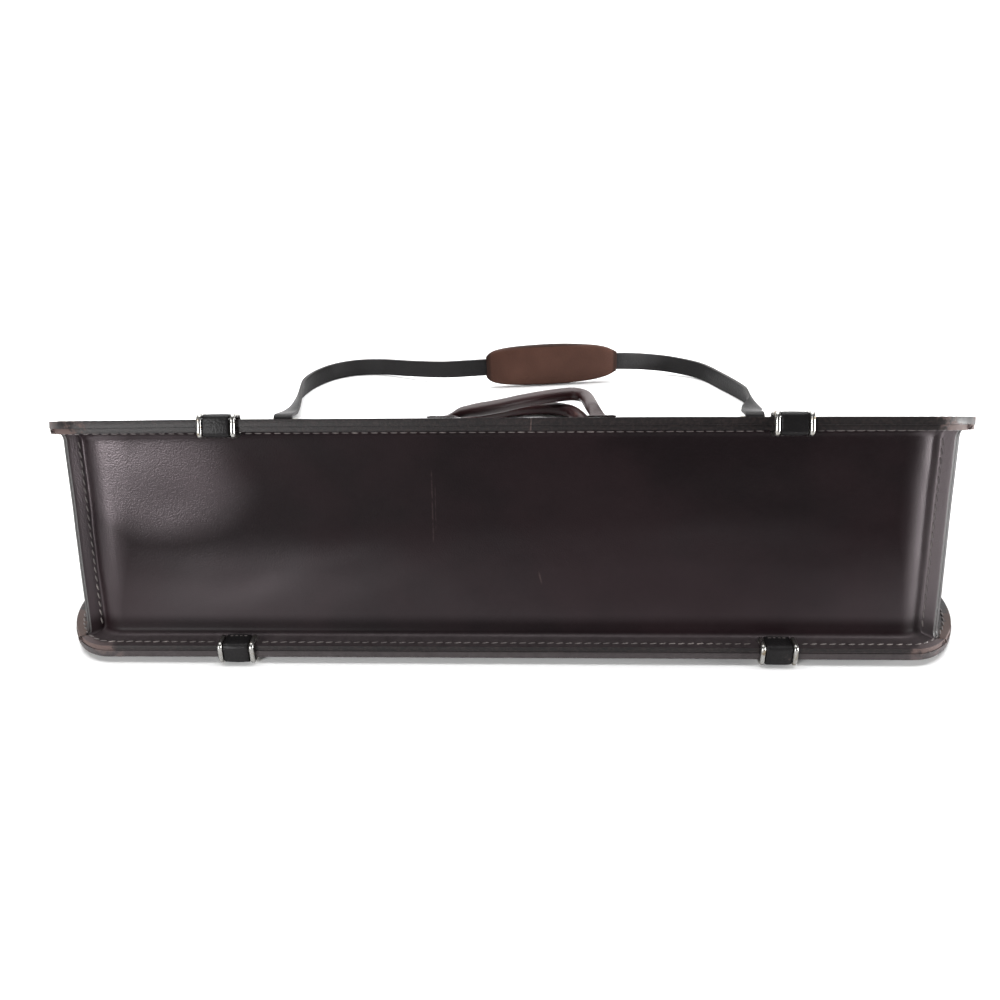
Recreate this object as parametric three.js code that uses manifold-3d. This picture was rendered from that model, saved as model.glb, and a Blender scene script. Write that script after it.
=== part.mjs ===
// A leather document case lying on its back panel, with two rolled handles and a shoulder strap.
// Millimetres, +Z up, +X to the right, +Y from the bottom of the case towards its mouth.

import * as THREE from "three";
import Module from "manifold-3d";
import { mergeVertices } from "three/addons/utils/BufferGeometryUtils.js";

const wasm = await Module();
wasm.setup();

// Driving dimensions: the case

const PANEL_WIDTH = 410;
const PANEL_HEIGHT = 265;
const PANEL_THICKNESS = 3;
const CORNER_ACROSS = 28; // the bottom corners are quarter ellipses
const CORNER_UP = 44;
const MOUTH_CORNER_RADIUS = 14;
const BOTTOM_DEPTH = 107; // between the outer faces at the bottom edge
const MOUTH_DEPTH = 13; // and at the mouth
const GUSSET_THICKNESS = 2.2;
const FLANGE_WIDTH_BOTTOM = 10.4; // from the rim to the gusset's wall
const FLANGE_WIDTH_SIDE = 15;
const FLANGE_BEND = 4; // radius at the middle of the leather
const RIM_SETBACK = 0.4; // of the flange's cut edge from the panel's
const GUSSET_CORNER_RADIUS = 16;
const SEAM_WIDTH = 7.5; // the pinched seam at each bottom corner
const BOTTOM_SAG = 4;
const SIDE_FOLD = 12; // how far the side gusset folds in at the mouth
const SIDE_GUSSET_TOP = 8; // below the mouth edge of the panels
const LEATHER_GAP = 0.3; // between pieces that lie on each other

// Driving dimensions: the rim fittings

const FITTING_PLACE = 119; // from the middle of the case
const RING_SPACING = 14;
const RING_WIRE = 2.3;
const RING_HOLE_INSET = 6.4;
const RING_CORNER = 1.5;
const SLEEVE_THICKNESS = 1.8;
const SLEEVE_OUTER_LEG = 15;
const SLEEVE_INNER_LEG = 8;

// Driving dimensions: handles, strap and pad

const GRIP_DIAMETER = 9.6;
const TONGUE_WIDTH = 18;
const TONGUE_LENGTH = 38;
const HANDLE_MIDDLE = 4; // the feet stand a little to the right of the middle
const HANDLE_SPAN = 104; // between the middles of the feet
const HANDLE_REACH = 50; // past the mouth edge
const STRAP_WIDTH = 13;
const STRAP_THICKNESS = 2.6;
const STRAP_REACH = 147; // past the mouth edge
const PAD_LENGTH = 104;
const PAD_WIDTH = 33;
const PAD_THICKNESS = 9;
const PAD_X = 25.7;
const PAD_OUT = 120.5; // its middle past the mouth edge
const PAD_TURN = 7.7; // degrees
const TAB_INSET = 40; // from the side edge of the panel
const TAB_WIDTH = 14;
const TAB_LENGTH = 40;
const TAB_THICKNESS = 1.8;
const STRAP_RING_WIRE = 2.6;
const STRAP_RING_DEPTH = 13;
const STRAP_RING_CORNER = 3;
const STRAP_RING_PLACE = 4; // of its bar past the mouth edge

// Worked out from the driving dimensions

const WEDGE_ANGLE = 2 * Math.asin((BOTTOM_DEPTH - MOUTH_DEPTH) / (2 * PANEL_HEIGHT));
const FLANGE_DEPTH = PANEL_THICKNESS + LEATHER_GAP; // from a panel's outer face to its flange
const FLANGE_MIDDLE = FLANGE_DEPTH + GUSSET_THICKNESS / 2;
const STACK = FLANGE_DEPTH + GUSSET_THICKNESS;
const WALL_BOTTOM = FLANGE_WIDTH_BOTTOM + GUSSET_THICKNESS / 2;
const WALL_SIDE = FLANGE_WIDTH_SIDE + GUSSET_THICKNESS / 2;
const REST_LIFT = LEATHER_GAP + RING_WIRE; // the back panel stands on the lower rings
const TONGUE_THICKNESS = REST_LIFT - LEATHER_GAP; // and on the tongues of its handle
const GRIP_RADIUS = GRIP_DIAMETER / 2;
const TAB_PLACE = PANEL_WIDTH / 2 - TAB_INSET;
const STRAP_RING_WIDTH = Math.max(STRAP_WIDTH, TAB_WIDTH) + 2 * STRAP_RING_CORNER + 1;

// Materials

const leather = (color, roughness) => new THREE.MeshStandardMaterial({ color, roughness, metalness: 0 });
const DARK_LEATHER = leather("#2b2022", 0.42);
const EDGE_LEATHER = leather("#382828", 0.5);
const HANDLE_LEATHER = leather("#4a2628", 0.4);
const STRAP_LEATHER = leather("#272526", 0.5);
const PAD_LEATHER = leather("#623f33", 0.6);
const SILVER = new THREE.MeshStandardMaterial({ color: "#c9c8c4", roughness: 0.25, metalness: 1 });

// Solids from meshes, and back

function solidOf(geometry) {
  const bare = geometry.clone();
  bare.deleteAttribute("normal");
  bare.deleteAttribute("uv");
  const merged = mergeVertices(bare, 1e-4);
  const mesh = new wasm.Mesh({
    numProp: 3,
    vertProperties: new Float32Array(merged.attributes.position.array),
    triVerts: new Uint32Array(merged.index.array),
  });
  return new wasm.Manifold(mesh);
}

function geometryOf(solid) {
  const mesh = solid.getMesh();
  const geometry = new THREE.BufferGeometry();
  geometry.setAttribute("position", new THREE.BufferAttribute(mesh.vertProperties, 3));
  geometry.setIndex(new THREE.BufferAttribute(mesh.triVerts, 1));
  geometry.computeVertexNormals();
  return geometry;
}

function fromTriangles(points, triangles) {
  const geometry = new THREE.BufferGeometry();
  geometry.setAttribute("position", new THREE.Float32BufferAttribute(points.flatMap((p) => p.toArray()), 3));
  let volume = 0;
  for (const [a, b, c] of triangles) volume += points[a].dot(points[b].clone().cross(points[c]));
  geometry.setIndex(triangles.flatMap(([a, b, c]) => (volume < 0 ? [a, c, b] : [a, b, c])));
  return geometry;
}

// Skins a grid of closed rings. The ends are capped round their centres, or meet each other.
function skinRings(rings, closed) {
  const sides = rings[0].length;
  const points = rings.flat();
  const triangles = [];
  const spans = closed ? rings.length : rings.length - 1;
  for (let i = 0; i < spans; i++) {
    const here = i * sides;
    const next = ((i + 1) % rings.length) * sides;
    for (let j = 0; j < sides; j++) {
      const k = (j + 1) % sides;
      triangles.push([here + j, here + k, next + k], [here + j, next + k, next + j]);
    }
  }
  if (!closed) {
    for (const [ring, flip] of [[0, true], [rings.length - 1, false]]) {
      const middle = points.length;
      const sum = rings[ring].reduce((s, p) => s.add(p), new THREE.Vector3());
      points.push(sum.divideScalar(sides));
      for (let j = 0; j < sides; j++) {
        const a = ring * sides + j;
        const b = ring * sides + ((j + 1) % sides);
        triangles.push(flip ? [middle, b, a] : [middle, a, b]);
      }
    }
  }
  return fromTriangles(points, triangles);
}

// A sheet of leather round a grid of points in the middle of its thickness.
function sheet(grid, thickness) {
  const rows = grid.length;
  const columns = grid[0].length;
  const pick = (i, j) => grid[Math.min(Math.max(i, 0), rows - 1)][Math.min(Math.max(j, 0), columns - 1)];
  const normal = (i, j) => {
    const along = pick(i + 1, j).clone().sub(pick(i - 1, j)).normalize();
    const across = pick(i, j + 1).clone().sub(pick(i, j - 1)).normalize();
    return along.cross(across).normalize();
  };
  const side = (sign) => grid.map((row, i) =>
    row.map((p, j) => p.clone().addScaledVector(normal(i, j), (sign * thickness) / 2)));
  const upper = side(1);
  const lower = side(-1);
  const rings = upper.map((row, i) => [...row, ...[...lower[i]].reverse()]);
  const points = rings.flat();
  const sides = rings[0].length;
  const triangles = [];
  for (let i = 0; i < rows - 1; i++) {
    for (let j = 0; j < sides; j++) {
      const k = (j + 1) % sides;
      const here = i * sides;
      const next = here + sides;
      triangles.push([here + j, here + k, next + k], [here + j, next + k, next + j]);
    }
  }
  for (const [row, flip] of [[0, true], [rows - 1, false]]) {
    for (let j = 0; j < columns - 1; j++) {
      const a = row * sides + j;
      const b = a + 1;
      const c = row * sides + (sides - 1 - j);
      const d = c - 1;
      const faces = [[a, d, b], [a, c, d]];
      for (const [p, q, r] of faces) triangles.push(flip ? [p, q, r] : [p, r, q]);
    }
  }
  return fromTriangles(points, triangles);
}

// The two panels' own frames: x, s up the panel from its bottom edge, k inwards from its outer face

const half = WEDGE_ANGLE / 2;
const backFrame = { matrix: new THREE.Matrix4().makeTranslation(0, 0, REST_LIFT), inward: 1 };
const frontFrame = {
  matrix: new THREE.Matrix4()
    .makeTranslation(0, BOTTOM_DEPTH * Math.sin(half), REST_LIFT + BOTTOM_DEPTH * Math.cos(half))
    .multiply(new THREE.Matrix4().makeRotationX(-WEDGE_ANGLE)),
  inward: -1,
};

const at = (frame, x, s, k) => new THREE.Vector3(x, s, frame.inward * k).applyMatrix4(frame.matrix);

// The straight distance between the middles of the two flanges at a height s up the panels.
const flangeDistance = (s) => at(backFrame, 0, s, FLANGE_MIDDLE).distanceTo(at(frontFrame, 0, s, FLANGE_MIDDLE));

// A point on the line between the two flanges' middles, by a distance from the lower or the upper one.
function between(x, s, rise, upper = false) {
  const low = at(backFrame, x, s, FLANGE_MIDDLE);
  const high = at(frontFrame, x, s, FLANGE_MIDDLE);
  const share = rise / flangeDistance(s);
  return upper ? high.lerp(low, share) : low.lerp(high, share);
}

// A flat plate on a panel's plane, from an outline of (x, s) points and two depths.
function plate(frame, outline, from, to) {
  const shape = new THREE.Shape(outline);
  const geometry = new THREE.ExtrudeGeometry(shape, { depth: to - from, bevelEnabled: false });
  geometry.translate(0, 0, frame.inward > 0 ? from : -to);
  return solidOf(geometry.applyMatrix4(frame.matrix));
}

// Outline of a panel, counterclockwise from the left mouth corner

const arc = (count, from, to) => Array.from({ length: count + 1 }, (_, i) => from + ((to - from) * i) / count);

function bottomCorner(inset) {
  const a = CORNER_ACROSS - inset;
  const b = CORNER_UP - inset;
  const x = PANEL_WIDTH / 2 - CORNER_ACROSS;
  return arc(10, 0, Math.PI / 2).map((t) => new THREE.Vector2(x + a * Math.sin(t), CORNER_UP - b * Math.cos(t)));
}

const mirrored = (points) => points.map((p) => new THREE.Vector2(-p.x, p.y)).reverse();

function panelOutline() {
  const r = MOUTH_CORNER_RADIUS;
  const middle = new THREE.Vector2(PANEL_WIDTH / 2 - r, PANEL_HEIGHT - r);
  const mouthCorner = arc(5, 0, Math.PI / 2)
    .map((t) => middle.clone().add(new THREE.Vector2(r * Math.cos(t), r * Math.sin(t))));
  const right = [...bottomCorner(0), ...mouthCorner];
  return [...mirrored(right), ...right];
}

// Places of the rim fittings

const fittingPlaces = [-FITTING_PLACE, FITTING_PLACE];
const ringPlaces = fittingPlaces.flatMap((x) => [x - RING_SPACING / 2, x + RING_SPACING / 2]);

function ringHoles(frame) {
  const depth = STACK + 2;
  return ringPlaces.map((x) => {
    const hole = new THREE.CylinderGeometry(RING_WIRE / 2 + LEATHER_GAP, RING_WIRE / 2 + LEATHER_GAP, depth, 10);
    hole.rotateX(Math.PI / 2);
    hole.translate(x, RING_HOLE_INSET, (frame.inward * STACK) / 2);
    return solidOf(hole.applyMatrix4(frame.matrix));
  });
}

const without = (solid, cuts) => cuts.reduce((rest, cut) => rest.subtract(cut), solid);

const makePanel = (frame) => without(plate(frame, panelOutline(), 0, PANEL_THICKNESS), ringHoles(frame));

// Gussets: paths in plan round the bottom corner

const cornerX = PANEL_WIDTH / 2 - WALL_SIDE - GUSSET_CORNER_RADIUS;
const cornerS = WALL_BOTTOM + GUSSET_CORNER_RADIUS;
const seamOffset = (GUSSET_THICKNESS + LEATHER_GAP) / 2; // of each seam strip from the mitre line
const seamTurn = Math.asin(seamOffset / GUSSET_CORNER_RADIUS);

// A point on the corner's round, with its outward direction. The angle counts from straight down.
function cornerPoint(angle) {
  const out = new THREE.Vector2(Math.sin(angle), -Math.cos(angle));
  const place = new THREE.Vector2(cornerX, cornerS).addScaledVector(out, GUSSET_CORNER_RADIUS);
  return { place, out, flare: 1, sag: 0 };
}

// The tip of the pinched seam, on one side of the mitre line: -1 for the bottom's strip, 1 for the side's.
function seamTip(sign) {
  const out = new THREE.Vector2(Math.SQRT1_2, -Math.SQRT1_2);
  const over = new THREE.Vector2(Math.SQRT1_2, Math.SQRT1_2).multiplyScalar(sign * seamOffset);
  const place = new THREE.Vector2(cornerX, cornerS).add(over);
  place.addScaledVector(out, GUSSET_CORNER_RADIUS * Math.cos(seamTurn) + SEAM_WIDTH);
  return { place, out, flare: 0, sag: 0 };
}

function bottomPath() {
  const right = [
    ...arc(4, 0, Math.PI / 4 - seamTurn).map(cornerPoint),
    seamTip(-1),
  ];
  const left = right.map((p) => ({
    ...p,
    place: new THREE.Vector2(-p.place.x, p.place.y),
    out: new THREE.Vector2(-p.out.x, p.out.y),
  })).reverse();
  const down = new THREE.Vector2(0, -1);
  const shares = [-0.94, -0.82, -0.6, -0.3, 0, 0.3, 0.6, 0.82, 0.94];
  const straight = shares.map((share) => ({
    place: new THREE.Vector2(share * cornerX, WALL_BOTTOM),
    out: down,
    flare: 1,
    sag: 1 - Math.abs(share) ** 4,
  }));
  return [...left, ...straight, ...right];
}

const SIDE_STATIONS = [
  { along: 0.04, fold: 0.06 },
  { along: 0.15, fold: 0.22 },
  { along: 0.35, fold: 0.4 },
  { along: 0.55, fold: 0.55 },
  { along: 0.75, fold: 0.72 },
  { along: 0.9, fold: 0.88 },
  { along: 1, fold: 1 },
];

function sidePath() {
  const top = PANEL_HEIGHT - SIDE_GUSSET_TOP;
  const across = new THREE.Vector2(1, 0);
  const straight = SIDE_STATIONS.map(({ along, fold }) => ({
    place: new THREE.Vector2(PANEL_WIDTH / 2 - WALL_SIDE, cornerS + along * (top - cornerS)),
    out: across,
    flare: 1,
    sag: fold,
  }));
  const corner = arc(4, Math.PI / 4 + seamTurn, Math.PI / 2).map(cornerPoint);
  return [seamTip(1), ...corner, ...straight];
}

// How far the wall stands in at shares of its height, of the sag or fold

const BOTTOM_WALL = [
  { up: 0.12, in: 0.25 },
  { up: 0.3, in: 0.75 },
  { up: 0.45, in: 1 },
  { up: 0.62, in: 0.72 },
  { up: 0.86, in: 0.22 },
];
const SIDE_WALL = [
  { up: 0.06, in: 0.34 },
  { up: 0.24, in: 0.78 },
  { up: 0.5, in: 1 },
  { up: 0.76, in: 0.78 },
  { up: 0.94, in: 0.34 },
];

// One column of the wall's grid: out of one flange, round its bend, up the wall and into the other.
function wallColumn(point, wall, depth) {
  const height = flangeDistance(point.place.y);
  const bend = Math.min(FLANGE_BEND, 0.42 * height);
  const embed = 0.35 * GUSSET_THICKNESS;
  const put = (distance, outwards, upper) => {
    const place = point.place.clone().addScaledVector(point.out, outwards);
    return between(place.x, place.y, distance, upper);
  };
  const rooted = point.flare * (bend + embed);
  const sunk = (1 - point.flare) * embed;
  const foot = (upper) => [
    put(-sunk, rooted, upper),
    ...arc(3, 0, Math.PI / 2).map((a) => put(bend * (1 - Math.cos(a)), point.flare * bend * (1 - Math.sin(a)), upper)),
  ];
  const middle = wall.map((row) => put(bend + row.up * (height - 2 * bend), -point.sag * depth * row.in, false));
  return [...foot(false), ...middle, ...foot(true).reverse()];
}

// The flange between two mitre lines, flat on a panel's inner face

const mitre = PANEL_WIDTH / 2 - WALL_SIDE + WALL_BOTTOM; // x + s along the mitre line

function mitrePoint(sign) {
  const line = mitre + sign * LEATHER_GAP * Math.SQRT1_2;
  const corner = bottomCorner(RIM_SETBACK);
  const after = corner.findIndex((p) => p.x + p.y > line);
  const a = corner[after - 1];
  const b = corner[after];
  const share = (line - a.x - a.y) / (b.x + b.y - a.x - a.y);
  return { cross: a.clone().lerp(b, share), after, corner, line };
}

// The flange's inner edge runs along the foot of the bend.
function flangeFoot(angle) {
  const out = new THREE.Vector2(Math.sin(angle), -Math.cos(angle));
  return new THREE.Vector2(cornerX, cornerS).addScaledVector(out, GUSSET_CORNER_RADIUS + FLANGE_BEND);
}

const footTurn = Math.asin((LEATHER_GAP / 2) / (GUSSET_CORNER_RADIUS + FLANGE_BEND));

function bottomFlange() {
  const { cross, after, corner } = mitrePoint(-1);
  const outer = [...corner.slice(0, after), cross];
  const inner = arc(4, Math.PI / 4 - footTurn, 0).map(flangeFoot);
  const right = [...outer, ...inner];
  const left = mirrored(right);
  const innerLeft = left.slice(0, inner.length);
  const outerLeft = left.slice(inner.length);
  return [...outerLeft, ...right, ...innerLeft];
}

function sideFlange() {
  const { cross, after, corner } = mitrePoint(1);
  const top = PANEL_HEIGHT - SIDE_GUSSET_TOP;
  const edge = PANEL_WIDTH / 2 - RIM_SETBACK;
  const foot = PANEL_WIDTH / 2 - WALL_SIDE + FLANGE_BEND;
  const inner = arc(4, Math.PI / 2, Math.PI / 4 + footTurn).map(flangeFoot);
  return [cross, ...corner.slice(after), new THREE.Vector2(edge, top), new THREE.Vector2(foot, top), ...inner];
}

function makeGusset(path, wall, depth, flange) {
  const walls = solidOf(sheet(path.map((point) => wallColumn(point, wall, depth)), GUSSET_THICKNESS));
  const flanges = [backFrame, frontFrame].map((frame) => plate(frame, flange, FLANGE_DEPTH, STACK));
  return flanges.reduce((sum, part) => sum.add(part), walls);
}

const makeBottomGusset = () =>
  without(
    makeGusset(bottomPath(), BOTTOM_WALL, BOTTOM_SAG, bottomFlange()),
    [...ringHoles(backFrame), ...ringHoles(frontFrame)],
  );

function makeSideGusset(side) {
  const right = makeGusset(sidePath(), SIDE_WALL, SIDE_FOLD, sideFlange());
  return side > 0 ? right : right.mirror([1, 0, 0]);
}

// Rings and sleeves round the rim

// A loop of round wire in a plane: points in the plane, the plane's two axes and its normal.
function wireLoop(points, place, first, second, wire, sides = 6) {
  const normal = first.clone().cross(second).normalize();
  const count = points.length;
  const put = (p) => place.clone().addScaledVector(first, p.x).addScaledVector(second, p.y);
  const rings = points.map((p, i) => {
    const before = points[(i + count - 1) % count];
    const after = points[(i + 1) % count];
    const along = after.clone().sub(before).normalize();
    const out = first.clone().multiplyScalar(along.y).addScaledVector(second, -along.x);
    return arc(sides, 0, 2 * Math.PI).slice(0, sides).map((t) =>
      put(p).addScaledVector(out, (wire / 2) * Math.cos(t)).addScaledVector(normal, (wire / 2) * Math.sin(t)));
  });
  return skinRings(rings, true);
}

function roundedRectangle(low, high, radius, steps) {
  const corners = [
    [high.x - radius, high.y - radius, 0],
    [low.x + radius, high.y - radius, 1],
    [low.x + radius, low.y + radius, 2],
    [high.x - radius, low.y + radius, 3],
  ];
  return corners.flatMap(([x, y, quarter]) =>
    arc(steps, 0, Math.PI / 2).map((t) => {
      const angle = t + (quarter * Math.PI) / 2;
      return new THREE.Vector2(x + radius * Math.cos(angle), y + radius * Math.sin(angle));
    }));
}

function makeRimRing(frame, x) {
  const clear = LEATHER_GAP + RING_WIRE / 2;
  const low = new THREE.Vector2(-clear, -clear);
  const high = new THREE.Vector2(RING_HOLE_INSET, STACK + clear);
  const origin = at(frame, x, 0, 0);
  const up = at(frame, x, 1, 0).sub(origin);
  const inwards = at(frame, x, 0, 1).sub(origin);
  return wireLoop(roundedRectangle(low, high, RING_CORNER, 3), origin, up, inwards, RING_WIRE);
}

function makeRimSleeve(frame, x) {
  const clear = LEATHER_GAP + SLEEVE_THICKNESS / 2;
  const width = RING_SPACING - RING_WIRE - 2 * LEATHER_GAP;
  const turn = arc(3, 0, Math.PI / 2);
  const path = [
    [SLEEVE_OUTER_LEG, -clear],
    [SLEEVE_OUTER_LEG / 2, -clear],
    ...turn.map((t) => [-clear * Math.sin(t), -clear * Math.cos(t)]),
    ...[...turn].reverse().map((t) => [-clear * Math.sin(t), STACK + clear * Math.cos(t)]),
    [SLEEVE_INNER_LEG / 2, STACK + clear],
    [SLEEVE_INNER_LEG, STACK + clear],
  ];
  return sheet(path.map(([s, k]) => [-1, 0, 1].map((side) => at(frame, x + (side * width) / 2, s, k))),
    SLEEVE_THICKNESS);
}

// Handles: a flat tongue that rolls up into a round grip, and back into a tongue

const FLAT_SECTION = [
  [1, 0], [1, 0.6], [0.9, 1], [0, 1], [-0.9, 1], [-1, 0.6],
  [-1, 0], [-1, -0.6], [-0.9, -1], [0, -1], [0.9, -1], [1, -0.6],
];

// A section between a flat leather tongue (round 0) and a circle (round 1).
const sectionPoints = (wide, thick, round) => FLAT_SECTION.map(([x, y], i) => {
  const angle = (i * 2 * Math.PI) / FLAT_SECTION.length;
  const flat = new THREE.Vector2((x * wide) / 2, (y * thick) / 2);
  return flat.lerp(new THREE.Vector2((Math.cos(angle) * wide) / 2, (Math.sin(angle) * thick) / 2), round);
});

// Free points of the grips: across as a share of half the span from the feet's middle, out as a
// share of the reach past the mouth edge, and rise over the resting surface in grip diameters.
const FRONT_GRIP = [
  { across: -0.78, out: 0.13, rise: 1.84 },
  { across: -0.56, out: 0.25, rise: 1.8 },
  { across: -0.3, out: 0.42, rise: 1.74 },
  { across: -0.03, out: 0.62, rise: 1.7 },
  { across: 0.24, out: 0.78, rise: 1.68 },
  { across: 0.5, out: 0.89, rise: 1.68 },
  { across: 0.71, out: 0.93, rise: 1.68 },
  { across: 0.85, out: 0.83, rise: 1.69 },
  { across: 0.91, out: 0.55, rise: 1.72 },
  { across: 0.94, out: 0.26, rise: 1.82 },
];
const BACK_GRIP = [
  { across: -0.86, out: 0.3, rise: 0.46 },
  { across: -0.66, out: 0.62, rise: 0.5 },
  { across: -0.34, out: 0.86, rise: 0.5 },
  { across: -0.05, out: 0.98, rise: 0.5 },
  { across: 0.23, out: 1.02, rise: 0.5 },
  { across: 0.46, out: 0.98, rise: 0.5 },
  { across: 0.66, out: 0.87, rise: 0.5 },
  { across: 0.76, out: 0.68, rise: 0.5 },
  { across: 0.87, out: 0.34, rise: 0.46 },
];

function makeHandle(frame, gripRows) {
  const mouthY = Math.max(at(frame, 0, PANEL_HEIGHT, 0).y, at(frame, 0, PANEL_HEIGHT, PANEL_THICKNESS).y);
  const tongueDepth = -LEATHER_GAP - TONGUE_THICKNESS / 2;
  const tongue = (side) => [TONGUE_LENGTH + 4, TONGUE_LENGTH * 0.6, 10, -2].map((down) => ({
    place: at(frame, HANDLE_MIDDLE + (side * HANDLE_SPAN) / 2, PANEL_HEIGHT - down, tongueDepth),
    wide: down > 9 ? TONGUE_WIDTH : TONGUE_WIDTH * 0.62,
    thick: TONGUE_THICKNESS,
    round: 0,
  }));
  const grip = gripRows.map(({ across, out, rise }, i) => {
    const end = Math.min(i, gripRows.length - 1 - i);
    return {
      place: new THREE.Vector3(
        HANDLE_MIDDLE + (across * HANDLE_SPAN) / 2,
        mouthY + out * HANDLE_REACH,
        rise * GRIP_DIAMETER,
      ),
      wide: GRIP_DIAMETER,
      thick: end === 0 ? GRIP_DIAMETER * 0.8 : GRIP_DIAMETER,
      round: end === 0 ? 0.8 : 1,
    };
  });
  const rows = [...tongue(-1), ...grip, ...tongue(1).reverse()];
  const curve = new THREE.CatmullRomCurve3(rows.map((row) => row.place), false, "centripetal");
  const normal = at(frame, 0, 0, -1).sub(at(frame, 0, 0, 0)).normalize();
  const stations = [];
  rows.forEach((row, i) => {
    const next = rows[i + 1];
    const flat = !next || (row.round === 0 && next.round === 0);
    const steps = flat ? 1 : 3;
    for (let j = 0; j < steps && (next || j === 0); j++) {
      const share = j / steps;
      const t = (i + share) / (rows.length - 1);
      const mix = (key) => (next ? row[key] + (next[key] - row[key]) * share : row[key]);
      stations.push({
        place: flat ? row.place.clone() : curve.getPoint(t),
        along: flat || j === 0 ? null : curve.getTangent(t),
        wide: mix("wide"),
        thick: mix("thick"),
        round: mix("round"),
      });
    }
  });
  const rings = stations.map((station, i) => {
    const before = stations[Math.max(i - 1, 0)].place;
    const after = stations[Math.min(i + 1, stations.length - 1)].place;
    const along = station.along ?? after.clone().sub(before).normalize();
    const over = along.clone().cross(normal).normalize();
    const up = over.clone().cross(along).normalize();
    return sectionPoints(station.wide, station.thick, station.round).map((p) =>
      station.place.clone().addScaledVector(over, p.x).addScaledVector(up, p.y));
  });
  return skinRings(rings, false);
}

// Tabs and strap rings at the mouth, sewn to the back panel's inner face

const tabLoopRadius = STRAP_RING_WIRE / 2 + LEATHER_GAP + TAB_THICKNESS;
const tabFloor = PANEL_THICKNESS + LEATHER_GAP;
const barPlace = (side) =>
  at(backFrame, side * TAB_PLACE, PANEL_HEIGHT + STRAP_RING_PLACE, tabFloor + tabLoopRadius);

function makeRingTab(side) {
  const long = TAB_LENGTH + STRAP_RING_PLACE;
  const slab = new THREE.BoxGeometry(TAB_WIDTH, long, TAB_THICKNESS);
  const low = at(backFrame, side * TAB_PLACE, PANEL_HEIGHT - TAB_LENGTH, tabFloor);
  slab.translate(low.x, low.y + long / 2, low.z + TAB_THICKNESS / 2);
  const bar = barPlace(side);
  const cylinder = (radius, width) => new THREE.CylinderGeometry(radius, radius, width, 16)
    .rotateZ(Math.PI / 2).translate(bar.x, bar.y, bar.z);
  const loop = solidOf(cylinder(tabLoopRadius, TAB_WIDTH));
  const bore = solidOf(cylinder(tabLoopRadius - TAB_THICKNESS, TAB_WIDTH + 2));
  return solidOf(slab).add(loop).subtract(bore);
}

function makeStrapRing(side) {
  const low = new THREE.Vector2(-STRAP_RING_WIDTH / 2, 0);
  const high = new THREE.Vector2(STRAP_RING_WIDTH / 2, STRAP_RING_DEPTH);
  const outline = roundedRectangle(low, high, STRAP_RING_CORNER, 3);
  const [across, out] = [new THREE.Vector3(1, 0, 0), new THREE.Vector3(0, 1, 0)];
  return wireLoop(outline, barPlace(side), across, out, STRAP_RING_WIRE);
}

// The strap's route, chosen by hand: across as a share of the tabs' place, out as a share of the
// strap's reach past the mouth edge, rise of its middle in strap widths, and its turn from standing
// on its edge (0) to lying flat (90). It runs from the left ring through the pad to the right one.
const STRAP_LEFT = [
  { across: -1, out: 0.2177, rise: 0.708, turn: 84 },
  { across: -1.006, out: 0.3605, rise: 0.585, turn: 52 },
  { across: -1.018, out: 0.5238, rise: 0.523, turn: 22 },
  { across: -1.018, out: 0.6735, rise: 0.515, turn: 6 },
  { across: -0.985, out: 0.8095, rise: 0.508, turn: 0 },
  { across: -0.921, out: 0.9218, rise: 0.508, turn: 0 },
  { across: -0.818, out: 0.9932, rise: 0.508, turn: 0 },
  { across: -0.691, out: 0.9966, rise: 0.538, turn: 0 },
  { across: -0.539, out: 0.9286, rise: 0.662, turn: 0 },
  { across: -0.364, out: 0.8333, rise: 0.923, turn: 0 },
  { across: -0.242, out: 0.7789, rise: 1.185, turn: 0 },
];
const STRAP_RIGHT = [
  { across: 0.533, out: 0.8946, rise: 1.169, turn: 0 },
  { across: 0.63, out: 0.9456, rise: 0.923, turn: 0 },
  { across: 0.745, out: 0.966, rise: 0.677, turn: 0 },
  { across: 0.873, out: 0.8912, rise: 0.538, turn: 0 },
  { across: 0.958, out: 0.7075, rise: 0.508, turn: 2 },
  { across: 1.03, out: 0.483, rise: 0.523, turn: 12 },
  { across: 1.042, out: 0.3401, rise: 0.585, turn: 50 },
  { across: 1.003, out: 0.2177, rise: 0.708, turn: 84 },
];

const padAngle = THREE.MathUtils.degToRad(PAD_TURN);
const padAxis = new THREE.Vector3(Math.cos(padAngle), Math.sin(padAngle), 0);
const padMiddle = new THREE.Vector3(PAD_X, PANEL_HEIGHT + PAD_OUT, PAD_WIDTH / 2);
const padEnd = (side) => padMiddle.clone().addScaledVector(padAxis, (side * PAD_LENGTH) / 2);

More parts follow.
